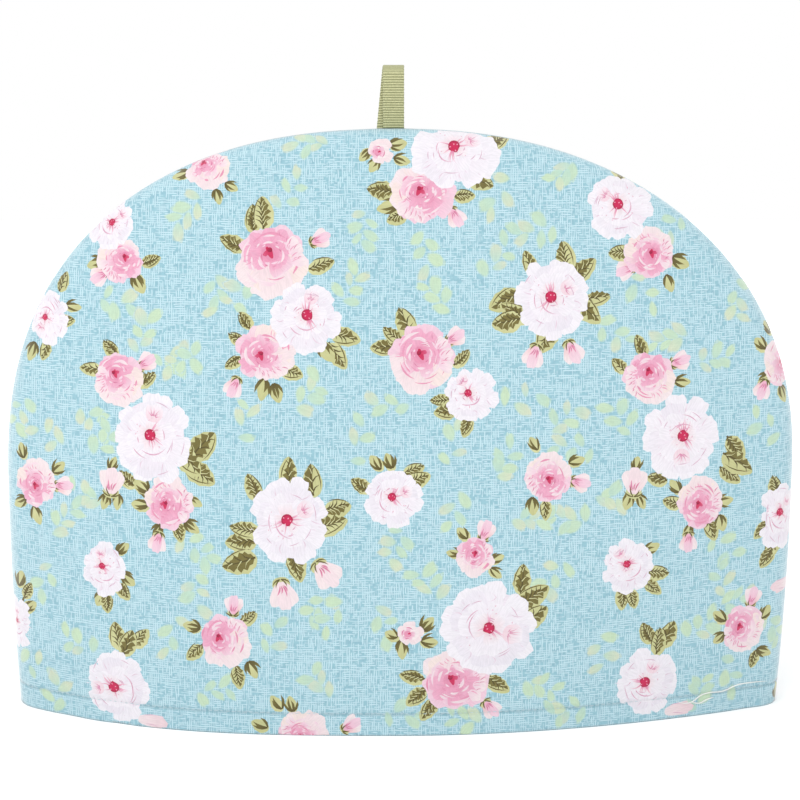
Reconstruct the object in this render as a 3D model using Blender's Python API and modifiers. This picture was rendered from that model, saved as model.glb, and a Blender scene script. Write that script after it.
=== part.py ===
"""Tea cosy: two padded cotton panels seamed along an arch, with a ribbon hanging loop on top.

Metres, +Z up. The cosy stands open on its hem at Z = 0, its seam lies in the plane Y = 0 and its
printed front looks along -Y. X runs across it, and its widest points are as far to the left as to the right.
"""

import bpy
import numpy as np

COLLECTION = "tea_cosy"
MM = 0.001

# The arch, seen from the front. Its sides stand on a spring line and are drawn in a little at the hem.
ARCH_HEIGHT = 267.0 * MM
HALF_WIDTH = 181.3 * MM
LEFT_SIDE = dict(spring=104.0 * MM, drawn_in=2.8 * MM, squareness=2.38)
RIGHT_SIDE = dict(spring=114.0 * MM, drawn_in=4.6 * MM, squareness=2.18)

# The panels
WADDING = 4.5 * MM
EDGE_ROUND = 8.5 * MM
HALF_DEPTH = 55.0 * MM
FULLNESS_RIGHT = 1.85
FULLNESS_LEFT = 3.0
PIECE_GAP = 0.3 * MM

# Soft dents in the padding: centre, half length and half height, depth, and the turn from level.
DENTS = (
    dict(name="top crease", x=-28.0, z=240.0, long=19.0, high=5.0, deep=0.9, turn=2.0),
    dict(name="left hem pucker", x=-150.0, z=9.0, long=7.0, high=16.0, deep=0.9, turn=-14.0),
    dict(name="second hem pucker", x=-128.0, z=8.0, long=5.0, high=14.0, deep=0.7, turn=10.0),
    dict(name="right hem pucker", x=158.0, z=12.0, long=6.0, high=18.0, deep=0.8, turn=12.0),
)

# How finely the panels are divided
ACROSS = 36
UP = 14
EDGE_ROWS = 3

# The hanging loop: a ribbon that stands on the seam in a teardrop
RIBBON_WIDTH = 9.5 * MM
RIBBON_THICK = 0.9 * MM
LOOP_X = -2.9 * MM
LOOP_HEIGHT = 28.0 * MM
LOOP_HALF_OPENING = 4.2 * MM
LOOP_LEAN = 2.8 * MM
RIB_PITCH = 1.08 * MM
RIB_HEIGHT = 0.12 * MM
PLAIN_TOP = 3.6 * MM

CLOTH_COLOUR = (0.39, 0.64, 0.72, 1.0)
RIBBON_COLOUR = (0.43, 0.43, 0.16, 1.0)


def clear_scene():
    for obj in list(bpy.data.objects):
        bpy.data.objects.remove(obj, do_unlink=True)


def material(name, colour, roughness):
    made = bpy.data.materials.new(name)
    made.use_nodes = True
    shader = made.node_tree.nodes["Principled BSDF"]
    shader.inputs["Base Color"].default_value = colour
    shader.inputs["Roughness"].default_value = roughness
    shader.inputs["Metallic"].default_value = 0.0
    return made


def half_arch(side, steps=400):
    """One side of the arch from hem to apex, as (distance from the middle, height)."""
    low = np.linspace(0.0, side["spring"], steps // 3, endpoint=False)
    drawn = HALF_WIDTH - side["drawn_in"] * (1.0 - low / side["spring"]) ** 2
    turn = np.linspace(0.0, np.pi / 2, steps)
    power = 2.0 / side["squareness"]
    across = HALF_WIDTH * np.cos(turn) ** power
    height = side["spring"] + (ARCH_HEIGHT - side["spring"]) * np.sin(turn) ** power
    return np.concatenate([drawn, across]), np.concatenate([low, height])


def whole_arch():
    """The arch from the right hem corner over the top to the left one, as rows of (x, z)."""
    right_x, right_z = half_arch(RIGHT_SIDE)
    left_x, left_z = half_arch(LEFT_SIDE)
    x = np.concatenate([right_x, -left_x[::-1][1:]])
    z = np.concatenate([right_z, left_z[::-1][1:]])
    return np.stack([x, z], axis=1)


ARCH = whole_arch()
ARCH_LENGTH = np.concatenate([[0.0], np.cumsum(np.linalg.norm(np.diff(ARCH, axis=0), axis=1))])
ARCH_ANGLE = np.arctan2(ARCH[:, 1], ARCH[:, 0])
ARCH_RADIUS = np.linalg.norm(ARCH, axis=1)


def arch_at(share):
    """The arch's point and its outward direction at this share of its length, from right to left."""
    along = np.clip(share, 0.0, 1.0) * ARCH_LENGTH[-1]
    reach = 1.5 * MM
    point, before, after = (
        np.stack([np.interp(d, ARCH_LENGTH, ARCH[:, k]) for k in (0, 1)], axis=-1)
        for d in (along, along - reach, along + reach)
    )
    tangent = after - before
    outward = np.stack([tangent[..., 1], -tangent[..., 0]], axis=-1)
    outward /= np.linalg.norm(outward, axis=-1, keepdims=True)
    at_hem = point[..., 1] <= 0.0
    outward[at_hem] = np.sign(point[at_hem]) * (1.0, 0.0)
    return point, outward


def bulge(x, z):
    """How far a panel's outer face stands off the rounded edge: full at the hem, none at the arch."""
    angle = np.arctan2(z, x)
    reach = np.hypot(x, z) / np.interp(angle, ARCH_ANGLE, ARCH_RADIUS)
    leftness = np.clip(angle / np.pi * 2.0 - 1.0, 0.0, 1.0)
    fullness = FULLNESS_RIGHT + (FULLNESS_LEFT - FULLNESS_RIGHT) * leftness
    return (HALF_DEPTH - EDGE_ROUND) * (1.0 - np.clip(reach, 0.0, 1.0) ** fullness)


def dents(x, z):
    """The depth of the soft dents, each a bell along and across its own line."""
    total = np.zeros_like(x)
    for dent in DENTS:
        turn = np.radians(dent["turn"])
        dx, dz = x / MM - dent["x"], z / MM - dent["z"]
        along = (dx * np.cos(turn) + dz * np.sin(turn)) / dent["long"]
        across = (dz * np.cos(turn) - dx * np.sin(turn)) / dent["high"]
        total += dent["deep"] * MM * np.exp(-(along**2) - across**2)
    return total


def field_points():
    """The panel inside its rounded edge: a half square of rows and columns, eased onto the arch."""
    u, v = np.meshgrid(np.linspace(-1.0, 1.0, ACROSS + 1), np.linspace(0.0, 1.0, UP + 1))
    disc_x, disc_z = u * np.sqrt(1.0 - v**2 / 2), v * np.sqrt(1.0 - u**2 / 2)
    share = np.arctan2(disc_z, disc_x) / np.pi
    point, outward = arch_at(share)
    edge = point - EDGE_ROUND * outward
    x, z = np.moveaxis(edge * np.hypot(disc_x, disc_z)[..., None], -1, 0)
    y = EDGE_ROUND + bulge(x, z) - dents(x, z)
    return np.stack([x, y, z], axis=-1), share


def edge_points(share):
    """The rounded edge: rows from the field out to the seam, a quarter turn of EDGE_ROUND."""
    point, outward = arch_at(share)
    rows = []
    for step in range(EDGE_ROWS - 1, -1, -1):
        turn = np.pi / 2 * step / EDGE_ROWS
        x, z = (point - EDGE_ROUND * (1.0 - np.cos(turn)) * outward).T
        y = EDGE_ROUND * np.sin(turn) + bulge(x, z) * (step > 0)
        rows.append(np.stack([x, y, z], axis=-1))
    return np.array(rows)


def panel_sheet():
    """The outer face of a panel as an open sheet: points, quads, and which points lie on seam and hem."""
    field, share = field_points()
    number = np.arange(field.shape[0] * field.shape[1]).reshape(field.shape[:2])
    rim = np.concatenate([number[:, -1], number[-1, -2:0:-1], number[::-1, 0]])
    rim_share = np.concatenate([share[:, -1], share[-1, -2:0:-1], share[::-1, 0]])
    edge = edge_points(rim_share)
    edge_number = number.size + np.arange(EDGE_ROWS * len(rim)).reshape(EDGE_ROWS, len(rim))
    rings = np.concatenate([rim[None], edge_number])
    points = np.concatenate([field.reshape(-1, 3), edge.reshape(-1, 3)])
    quads = [
        np.stack([g[:-1, :-1], g[:-1, 1:], g[1:, 1:], g[1:, :-1]], axis=-1).reshape(-1, 4)
        for g in (number, rings[:, ::-1])
    ]
    hem = np.concatenate([number[0], rings[:, 0], rings[:, -1]])
    points[:, 1] += PIECE_GAP / 2
    return points, np.concatenate(quads), rings[-1], np.unique(hem)


def panel(name, facing, cloth, collection):
    """A panel: its sheet thickened inwards by the wadding, with its seam and its hem squared off flat."""
    points, quads, seam, hem = panel_sheet()
    points[:, 1] *= facing
    mesh = bpy.data.meshes.new(name)
    mesh.from_pydata(points.tolist(), [], (quads if facing < 0 else quads[:, ::-1]).tolist())
    obj = bpy.data.objects.new(name, mesh)
    collection.objects.link(obj)
    thicken = obj.modifiers.new("wadding", "SOLIDIFY")
    thicken.thickness = WADDING
    thicken.offset = -1.0
    thicken.use_even_offset = False
    whole = bpy.data.meshes.new_from_object(obj.evaluated_get(bpy.context.evaluated_depsgraph_get()))
    obj.modifiers.remove(thicken)
    obj.data = whole
    bpy.data.meshes.remove(mesh)
    whole.name = name
    inner = len(points)
    for index in hem:
        whole.vertices[inner + index].co.z = 0.0
        whole.vertices[index].co.z = 0.0
    for index in seam:
        whole.vertices[inner + index].co.y = facing * PIECE_GAP / 2
    whole.materials.clear()
    whole.materials.append(cloth)
    whole.shade_smooth()
    whole.set_sharp_from_angle(angle=np.radians(50))
    return obj


def loop_path():
    """The ribbon's middle line from the front foot over the top to the rear foot, as rows of (y, z)."""
    foot_y = RIBBON_THICK / 2 + RIB_HEIGHT + PIECE_GAP / 2
    foot_z = ARCH_HEIGHT + PIECE_GAP
    turn_z = ARCH_HEIGHT + LOOP_HEIGHT - RIBBON_THICK / 2 - LOOP_HALF_OPENING
    share = np.linspace(0.0, 1.0, 60)
    leg_y = foot_y + (LOOP_HALF_OPENING - foot_y) * share**2 * (3.0 - 2.0 * share)
    leg_z = foot_z + (turn_z - foot_z) * share
    turn = np.linspace(0.0, np.pi, 60)[1:-1]
    y = np.concatenate([-leg_y, -LOOP_HALF_OPENING * np.cos(turn), leg_y[::-1]])
    z = np.concatenate([leg_z, turn_z + LOOP_HALF_OPENING * np.sin(turn), leg_z[::-1]])
    return y, z


def ribbon_loop(ribbon, collection):
    """The ribbon swept along its path, with a rib across it at every pitch, fading where it folds over."""
    path_y, path_z = loop_path()
    length = np.concatenate([[0.0], np.cumsum(np.hypot(np.diff(path_y), np.diff(path_z)))])
    ribs = int(length[-1] / RIB_PITCH)
    stations = np.linspace(0.0, length[-1], 2 * ribs + 1)
    y, z = (np.interp(stations, length, values) for values in (path_y, path_z))
    along_y, along_z = np.gradient(y), np.gradient(z)
    size = np.hypot(along_y, along_z)
    normal_y, normal_z = -along_z / size, along_y / size
    from_top = np.abs(stations - length[-1] / 2)
    ribbed = np.clip((from_top - PLAIN_TOP) / (2 * RIB_PITCH), 0.0, 1.0)
    crest = np.where(np.arange(len(stations)) % 2, 1.0, -1.0)
    half = RIBBON_THICK / 2 + RIB_HEIGHT * ribbed * crest
    lean = -LOOP_LEAN * np.clip(2.0 * stations / length[-1] - 1.0, 0.0, 1.0)
    corners = [
        np.stack([LOOP_X + lean + side * RIBBON_WIDTH / 2, y + face * half * normal_y,
                  z + face * half * normal_z], axis=-1)
        for side, face in ((-1, 1), (1, 1), (1, -1), (-1, -1))
    ]
    points = np.stack(corners, axis=1)
    # The cut feet stand level just above the seam.
    points[[0, -1], :, 2] = ARCH_HEIGHT + PIECE_GAP
    number = np.arange(points.shape[0] * 4).reshape(-1, 4)
    after = np.roll(number, -1, axis=1)
    quads = np.stack([number[:-1], after[:-1], after[1:], number[1:]], axis=-1).reshape(-1, 4)
    ends = [number[0][::-1].tolist(), number[-1].tolist()]
    mesh = bpy.data.meshes.new("ribbon_loop")
    mesh.from_pydata(points.reshape(-1, 3).tolist(), [], quads.tolist() + ends)
    mesh.materials.append(ribbon)
    obj = bpy.data.objects.new("ribbon_loop", mesh)
    collection.objects.link(obj)
    return obj


def main():
    clear_scene()
    collection = bpy.data.collections.new(COLLECTION)
    bpy.context.scene.collection.children.link(collection)
    cloth = material("printed_cotton", CLOTH_COLOUR, 0.85)
    panel("front_panel", -1, cloth, collection)
    panel("back_panel", 1, cloth.copy(), collection)
    ribbon_loop(material("grosgrain", RIBBON_COLOUR, 0.6), collection)


main()
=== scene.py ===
import bpy
import numpy as np
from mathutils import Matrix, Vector
from mathutils.geometry import delaunay_2d_cdt


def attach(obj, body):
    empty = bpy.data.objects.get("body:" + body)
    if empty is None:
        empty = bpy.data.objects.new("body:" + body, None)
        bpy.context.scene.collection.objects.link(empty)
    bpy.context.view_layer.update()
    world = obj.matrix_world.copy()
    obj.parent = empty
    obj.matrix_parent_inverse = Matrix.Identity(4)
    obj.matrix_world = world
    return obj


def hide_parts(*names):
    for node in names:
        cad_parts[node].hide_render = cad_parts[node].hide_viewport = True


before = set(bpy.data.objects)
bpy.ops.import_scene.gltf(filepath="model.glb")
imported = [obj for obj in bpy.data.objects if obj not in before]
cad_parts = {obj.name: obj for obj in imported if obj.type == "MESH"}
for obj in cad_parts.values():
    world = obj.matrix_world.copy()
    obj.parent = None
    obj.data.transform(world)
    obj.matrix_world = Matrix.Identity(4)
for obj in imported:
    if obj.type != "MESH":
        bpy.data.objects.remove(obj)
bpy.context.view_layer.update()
mm = 0.001

# The camera comes first, because the print's places are given as it sees them.
# printAway is how far the print is from the camera, as a share of away.
view = dict(
    tilt=10.0, away=1.0, aimHeight=0.1426, focalPixels=2174.0, picture=800.0, sensor=36.0, printAway=0.965,
)


def placed(name, data):
    # an object for a mesh, a camera or a light, in the scene
    made = bpy.data.objects.new(name, data)
    bpy.context.scene.collection.objects.link(made)
    return made


def placedMesh(name, points, faces):
    mesh = bpy.data.meshes.new(name)
    mesh.from_pydata(points.reshape(-1, 3).tolist(), [], faces)
    return placed(name, mesh)


def viewFrame():
    # the camera's place, and the ways it calls ahead, right and up
    tilt = np.radians(view["tilt"])
    place = np.array([0.0, -np.cos(tilt), np.sin(tilt)]) * view["away"] + (0.0, 0.0, view["aimHeight"])
    ahead = np.array([0.0, np.cos(tilt), -np.sin(tilt)])
    right = np.array([1.0, 0.0, 0.0])
    return place, ahead, right, np.cross(right, ahead)


def makeCamera():
    place, ahead = viewFrame()[:2]
    data = bpy.data.cameras.new("camera")
    data.sensor_width = view["sensor"]
    data.lens = view["focalPixels"] * data.sensor_width / view["picture"]
    camera = placed("camera", data)
    camera.location = place
    camera.rotation_euler = Vector(ahead).to_track_quat("-Z", "Y").to_euler()
    bpy.context.scene.camera = camera


makeCamera()
print("camera set")

# The cosy's outline and padding, from the same sizes as its solids.
arch = dict(
    height=267.0 * mm, halfWidth=181.3 * mm,
    left=dict(spring=104.0 * mm, drawnIn=2.8 * mm, squareness=2.38),
    right=dict(spring=114.0 * mm, drawnIn=4.6 * mm, squareness=2.18),
)
panel = dict(
    thick=4.5 * mm, edgeRound=8.5 * mm, halfDepth=55.0 * mm, fullRight=1.85, fullLeft=3.0,
    gap=0.08 * mm, seamDip=1.0 * mm, dipTurn=0.5, hemRound=0.6 * mm,
    stitchHeight=10.0 * mm, grooveDeep=0.7 * mm, grooveWide=0.9 * mm,
    unevenness=0.2 * mm, ripple=0.16 * mm, loopX=-4.0 * mm,
)
# soft dents in the padding, in millimetres
dents = (
    dict(name="top crease", x=-28.0, z=240.0, long=19.0, high=5.0, deep=0.9, turn=2.0),
    dict(name="left hem pucker", x=-150.0, z=9.0, long=7.0, high=16.0, deep=0.9, turn=-14.0),
    dict(name="second hem pucker", x=-128.0, z=8.0, long=5.0, high=14.0, deep=0.7, turn=10.0),
    dict(name="right hem pucker", x=158.0, z=12.0, long=6.0, high=18.0, deep=0.8, turn=12.0),
)


def halfArch(side, steps=700):
    # sides drawn in towards the hem by a parabola, then a superellipse from the spring line to the top
    low = np.linspace(0.0, side["spring"], steps // 3, endpoint=False)
    drawn = arch["halfWidth"] - side["drawnIn"] * (1.0 - low / side["spring"]) ** 2
    turn = np.linspace(0.0, np.pi / 2, steps)
    power = 2.0 / side["squareness"]
    across = arch["halfWidth"] * np.cos(turn) ** power
    height = side["spring"] + (arch["height"] - side["spring"]) * np.sin(turn) ** power
    return np.concatenate([drawn, across]), np.concatenate([low, height])


(rightX, rightZ), (leftX, leftZ) = halfArch(arch["right"]), halfArch(arch["left"])
archLine = np.stack([np.append(rightX, -leftX[::-1][1:]), np.append(rightZ, leftZ[::-1][1:])], axis=1)
archLength = np.append(0.0, np.cumsum(np.linalg.norm(np.diff(archLine, axis=0), axis=1)))
archAngle = np.arctan2(archLine[:, 1], archLine[:, 0])
archRadius = np.linalg.norm(archLine, axis=1)


def archAt(share):
    # the arch's point and outward way at a share of its length, from the right hem corner to the left one
    along = np.clip(share, 0.0, 1.0) * archLength[-1]
    reach = 1.5 * mm
    point, before, after = (
        np.stack([np.interp(d, archLength, archLine[:, k]) for k in (0, 1)], axis=-1)
        for d in (along, along - reach, along + reach)
    )
    tangent = after - before
    outward = np.stack([tangent[..., 1], -tangent[..., 0]], axis=-1)
    outward[..., 1] *= np.clip(point[..., 1] / (12 * mm), 0.0, 1.0)
    return point, outward / np.linalg.norm(outward, axis=-1)[..., None]


archFeet, archOut = archAt(np.linspace(0.0, 1.0, 1400))


def archDistance(flat):
    # how far inside the arch each point is, with its nearest arch point and that point's outward way
    inside = np.full(len(flat), 1.0)
    foot, out = np.zeros_like(flat), np.zeros_like(flat)
    reach = np.hypot(flat[:, 0], flat[:, 1])
    reach = reach / np.interp(np.arctan2(flat[:, 1], flat[:, 0]), archAngle, archRadius)
    near = np.flatnonzero(reach > 0.84)  # further in, it is well over the rounded edge's size
    for some in np.array_split(near, max(1, len(near) // 4000)):
        apart = flat[some][:, None] - archFeet[None]
        index = (apart**2).sum(axis=-1).argmin(axis=1)
        out[some] = archOut[index]
        inside[some] = ((archFeet[index] - flat[some]) * out[some]).sum(axis=1)
        foot[some] = flat[some] + inside[some][:, None] * out[some]
    return inside, foot, out


def bulge(x, z):
    # a dome, fullest at the middle of the hem and nothing at the arch, fuller on the left
    angle = np.arctan2(z, x)
    reach = np.hypot(x, z) / np.interp(angle, archAngle, archRadius)
    leftness = np.clip(angle / np.pi * 2.0 - 1.0, 0.0, 1.0)
    full = panel["fullRight"] + (panel["fullLeft"] - panel["fullRight"]) * leftness
    return (panel["halfDepth"] - panel["edgeRound"]) * (1.0 - np.clip(reach, 0.0, 1.0) ** full)


def dentDepth(x, z):
    # slow waves of the wadding, ripples beside the stitching, and dents that are bells along their own lines
    slow = np.sin(x * 71 + z * 38) + np.sin(x * 43 - z * 88 + 1.3) + np.sin(z * 120 + x * 19 + 4.0)
    total = panel["unevenness"] * slow * np.clip((z - 14 * mm) / (40 * mm), 0.0, 1.0)
    pulled = np.sin(x * 830 + 2.0 * np.sin(x * 97)) + 0.7 * np.sin(x * 520 + 3.0 * np.sin(x * 61 + 2.0))
    total = total + panel["ripple"] * pulled * np.exp(-(((z - panel["stitchHeight"]) / (6 * mm)) ** 2))
    for dent in dents:
        turn = np.radians(dent["turn"])
        dx, dz = x / mm - dent["x"], z / mm - dent["z"]
        along = (dx * np.cos(turn) + dz * np.sin(turn)) / dent["long"]
        across = (dz * np.cos(turn) - dx * np.sin(turn)) / dent["high"]
        total = total + dent["deep"] * mm * np.exp(-(along**2) - across**2)
    return total


def onPanel(flat, side=1, finished=True):
    # lays the flat cloth on a panel: a dome inside, and a quarter turn into the seam round the arch; the
    # finished face also dips into the seam, sinks along the stitching and folds round at the hem
    flat = flat * (side, 1)
    roll, hemFold = panel["edgeRound"], panel["hemRound"]
    inside, foot, out = archDistance(flat)
    band = inside < roll
    turn = np.pi / 2 - np.clip(roll - inside, 0.0, None) / roll
    inset = roll * (1.0 - np.cos(turn))
    rise = roll * np.sin(turn)
    folded = np.clip((hemFold - flat[:, 1]) / hemFold, 0.0, np.pi / 2)
    if finished:
        shallow = 1.0 - 0.7 * np.exp(-(((foot[:, 0] - panel["loopX"]) / (9 * mm)) ** 4) * (foot[:, 1] > 0.2))
        inset = inset + shallow * panel["seamDip"] * np.clip(1.0 - turn / panel["dipTurn"], 0.0, None) ** 2
        away = (flat[:, 1] - panel["stitchHeight"]) / panel["grooveWide"]
        pulled = hemFold * (1.0 - np.cos(folded)) + panel["grooveDeep"] * np.exp(-(away**2)) * (turn > 0.3)
        inset = inset + pulled * np.cos(turn) * band
        rise = rise - pulled * np.sin(turn)
    x = np.where(band, foot[:, 0] - inset * out[:, 0], flat[:, 0])
    z = np.where(band, foot[:, 1] - inset * out[:, 1], flat[:, 1])
    z = np.where(folded > 0, hemFold * (1.0 - np.sin(folded)), z) if finished else np.maximum(z, 0.0)
    y = rise + (bulge(x, z) - dentDepth(x, z)) * np.clip(turn / 0.7, 0.0, 1.0)
    return np.stack([x, -side * (panel["gap"] / 2 + y), z], axis=1)


def outwardWay(flat, side=1, finished=True, step=0.12 * mm):
    # the outward normal, from the surface's slopes across and up
    across = onPanel(flat + (step, 0), side, finished) - onPanel(flat - (step, 0), side, finished)
    up = onPanel(flat + (0, step), side, finished) - onPanel(flat - (0, step), side, finished)
    normal = np.cross(across, up)
    return normal / np.maximum(np.linalg.norm(normal, axis=1), 1e-15)[:, None]


def flatAt(pixels):
    # where on the flat cloth a pixel of the view lands: its ray meets the front panel, found by repetition
    place, ahead, right, up = viewFrame()
    pixels = np.asarray(pixels, dtype=float)
    side, down = (pixels - view["picture"] / 2).T / view["focalPixels"]
    ray = ahead + side[:, None] * right - down[:, None] * up
    depth = np.full(len(pixels), -0.03)
    for _ in range(12):
        hit = place + ray * ((depth - place[1]) / ray[:, 1])[:, None]
        spot = hit[:, [0, 2]]
        inside, foot, out = archDistance(spot)
        roll = panel["edgeRound"]
        turn = np.arccos(np.clip(1.0 - inside / roll, -1.0, 1.0))
        unrolled = roll - roll * (np.pi / 2 - turn)
        flat = np.where((inside < roll)[:, None], foot - unrolled[:, None] * out, spot)
        depth = 0.5 * depth + 0.5 * onPanel(flat)[:, 1]
    return flat


# The print, by the pixel where each motif's middle shows. Roses: half sizes, the heart, the way the pale
# petals lie in degrees, then the leaves and the buds round it.
pinkRoses = (
    dict(at=(209, 169), half=(22, 20), heart=(203, 163), pale=-60,
         leaves=((181, 174), (217, 196), (231, 186))),
    dict(at=(120, 260), half=(25, 22), heart=(125, 258), pale=120,
         leaves=((95, 262), (151, 260), (138, 282)), buds=((99, 276),)),
    dict(at=(272, 262), half=(37, 36), heart=(270, 253), pale=-80,
         leaves=((253, 217), (232, 243), (322, 264), (262, 212)), buds=((321, 239),)),
    dict(at=(266, 352), half=(31, 28), heart=(261, 356), pale=20,
         leaves=((244, 320), (236, 338), (233, 362), (263, 388), (276, 392), (291, 371)), buds=((233, 388),)),
    dict(at=(423, 193), half=(34, 29), heart=(419, 191), pale=130,
         leaves=((379, 190), (397, 216), (464, 195), (388, 206)), buds=((456, 218),)),
    dict(at=(649, 253), half=(27, 26), heart=(652, 254), pale=100,
         leaves=((619, 252), (680, 260), (669, 282)), buds=((625, 270),)),
    dict(at=(422, 360), half=(33, 35), heart=(421, 355), pale=-90,
         leaves=((405, 320), (392, 334), (383, 347), (462, 357)), buds=((456, 337),)),
    dict(at=(119, 380), half=(26, 27), heart=(115, 374), pale=-70,
         leaves=((110, 347), (91, 368), (147, 378)), buds=((147, 362),)),
    dict(at=(169, 502), half=(24, 28), heart=(165, 505), pale=90,
         leaves=((127, 478), (142, 486), (141, 503), (193, 502), (157, 531), (179, 531), (191, 526)),
         buds=((157, 543),)),
    dict(at=(36, 482), half=(22, 25), heart=(35, 486), pale=90,
         leaves=((22, 450), (58, 467), (20, 500), (37, 514)), buds=((64, 486),)),
    dict(at=(548, 477), half=(24, 26), heart=(549, 480), pale=90,
         leaves=((534, 443), (576, 460), (545, 509), (532, 505)), buds=((581, 483),)),
    dict(at=(475, 557), half=(19, 21), heart=(475, 554), pale=-90,
         leaves=((462, 533), (454, 552), (497, 558), (496, 572)), buds=((486, 530),)),
    dict(at=(456, 680), half=(36, 32), heart=(452, 680), pale=90,
         leaves=((412, 676), (417, 696), (429, 709), (497, 683)), buds=((491, 709),)),
    dict(at=(650, 378), half=(27, 27), heart=(648, 372), pale=-80,
         leaves=((640, 345), (619, 365), (682, 381)), buds=((681, 361),)),
    dict(at=(700, 502), half=(24, 28), heart=(698, 505), pale=90,
         leaves=((657, 478), (675, 486), (672, 502), (724, 500), (688, 531), (711, 529), (721, 522)),
         buds=((688, 543),)),
    dict(at=(779, 362), half=(21, 25), heart=(781, 362), pale=160,
         leaves=((767, 326), (761, 343), (764, 378), (783, 392)), buds=((762, 390),)),
    dict(at=(744, 628), half=(22, 27), heart=(739, 627), pale=-40,
         leaves=((720, 616), (719, 637), (753, 659), (763, 651), (765, 611)), buds=((753, 596),)),
    dict(at=(226, 641), half=(25, 28), heart=(218, 638), pale=-50,
         leaves=((192, 626), (195, 651), (238, 676), (252, 669), (248, 617)), buds=((234, 605),)),
    dict(at=(304, 733), half=(26, 24), heart=(300, 738), pale=60,
         leaves=((277, 702), (291, 704), (260, 724)), buds=((352, 725),)),
)
whiteRoses = (
    dict(at=(109, 222), half=(27, 27), heart=(112, 222), leaves=()),
    dict(at=(48, 318), half=(22, 28), heart=(45, 317),
         leaves=((63, 281), (73, 305), (65, 320), (32, 350), (45, 350))),
    dict(at=(305, 319), half=(36, 35), heart=(307, 315), leaves=((344, 336), (337, 355), (326, 351))),
    dict(at=(455, 154), half=(46, 33), heart=(454, 146), leaves=((498, 139), (480, 180))),
    dict(at=(620, 207), half=(36, 33), heart=(618, 204), leaves=((617, 172),)),
    dict(at=(552, 299), half=(38, 40), heart=(551, 297),
         leaves=((564, 256), (582, 269), (598, 297), (588, 310), (546, 338), (529, 262), (506, 300),
                 (515, 312), (506, 321)), buds=((533, 357), (573, 353)), budSize=10.0),
    dict(at=(471, 395), half=(28, 27), heart=(468, 393), leaves=((439, 400), (446, 411), (466, 426))),
    dict(at=(152, 439), half=(40, 46), heart=(150, 435), leaves=((203, 445), (200, 473), (190, 462))),
    dict(at=(104, 569), half=(23, 29), heart=(102, 566),
         leaves=((122, 548), (128, 578), (123, 590), (100, 597), (107, 602))),
    dict(at=(289, 521), half=(39, 44), heart=(287, 520),
         leaves=((289, 472), (312, 479), (337, 507), (330, 524), (296, 566), (253, 486), (241, 541),
                 (238, 562), (243, 529)), buds=((283, 596), (327, 575)), budSize=13.0),
    dict(at=(393, 499), half=(30, 29), heart=(392, 497),
         leaves=((375, 463), (389, 460), (414, 469), (418, 479), (360, 485))),
    dict(at=(488, 629), half=(50, 47), heart=(489, 628), leaves=((522, 578), (533, 596), (535, 615))),
    dict(at=(628, 567), half=(27, 29), heart=(627, 564),
         leaves=((650, 548), (659, 572), (652, 586), (623, 597), (632, 598))),
    dict(at=(681, 438), half=(41, 44), heart=(683, 436), leaves=((735, 447), (730, 474), (738, 462))),
    dict(at=(781, 516), half=(22, 36), heart=(780, 512),
         leaves=((775, 485), (762, 529), (771, 547), (766, 557))),
    dict(at=(647, 682), half=(33, 36), heart=(645, 682), leaves=((647, 632), (668, 633), (658, 640))),
    dict(at=(118, 686), half=(33, 38), heart=(114, 687), leaves=((117, 635), (139, 638), (128, 642))),
    dict(at=(18, 622), half=(15, 28), heart=(17, 620), leaves=((20, 578), (28, 590), (29, 605))),
)
# small roses: half open with its leafy side towards the way in degrees, a cup, or only a petal at the edge
smallBuds = (
    dict(at=(381, 151), form="open", way=20, leaves=((365, 154), (374, 164), (397, 143), (401, 159))),
    dict(at=(112, 481), form="cup", way=84, leaves=((105, 500), (118, 501), (113, 463))),
    dict(at=(635, 481), form="cup", way=84, leaves=((628, 500), (641, 501), (637, 463))),
    dict(at=(411, 633), form="open", way=20, leaves=((391, 634), (402, 648), (427, 624), (429, 641))),
    dict(at=(678, 709), form="petal", way=6),
    dict(at=(152, 721), form="petal", way=-4),
    dict(at=(783, 584), form="petal", way=184),
    dict(at=(782, 712), form="petal", way=90, leaves=((775, 690),)),
)
# pale sprigs behind the roses
sprigs = (
    (189, 210), (217, 292), (244, 295), (114, 301), (143, 336), (180, 358), (313, 143), (290, 193),
    (363, 228), (426, 248), (499, 195), (497, 261), (350, 287), (440, 300), (537, 230), (565, 170),
    (673, 226), (736, 298), (642, 290), (612, 332), (673, 339), (712, 360), (19, 412), (50, 436),
    (92, 418), (103, 443), (177, 362), (244, 422), (88, 496), (61, 522), (197, 549), (46, 577),
    (196, 590), (308, 394), (394, 405), (357, 443), (452, 447), (521, 400), (503, 464), (455, 508),
    (396, 545), (427, 585), (319, 605), (334, 615), (271, 640), (382, 620), (320, 685), (212, 690),
    (79, 645), (33, 665), (57, 697), (172, 632), (563, 420), (574, 447), (622, 420), (767, 425),
    (609, 497), (572, 520), (724, 547), (553, 575), (722, 582), (733, 600), (602, 650), (538, 685),
    (467, 720), (400, 714), (568, 711), (528, 520), (773, 625), (727, 672), (702, 627), (699, 694),
)
repeat = dict(width=243.0 * mm, fromX=-143.0 * mm, backShift=92.0 * mm, furthest=205.0 * mm)
# Leaves are sized by the rose that they stand round: its half size times this share, within the two limits.
leafShare = dict(pink=0.80, white=0.80, small=1.25)
leafLimits = (8.0 * mm, 15.5 * mm)
motifSize = dict(
    bud=8.8, small=(12, 12), open=6.0 * mm, cup=12.0 * mm, petalLong=13.0 * mm, petalWide=7.0 * mm,
)
whiteness = 0.93  # of the bleached cotton, which every printed colour lies on


def ink(red, green, blue):
    # a screen colour as linear light, on the cotton
    level = np.array([red, green, blue]) / 255.0
    return whiteness * np.where(level > 0.04045, ((level + 0.055) / 1.055) ** 2.4, level / 12.92)


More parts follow.
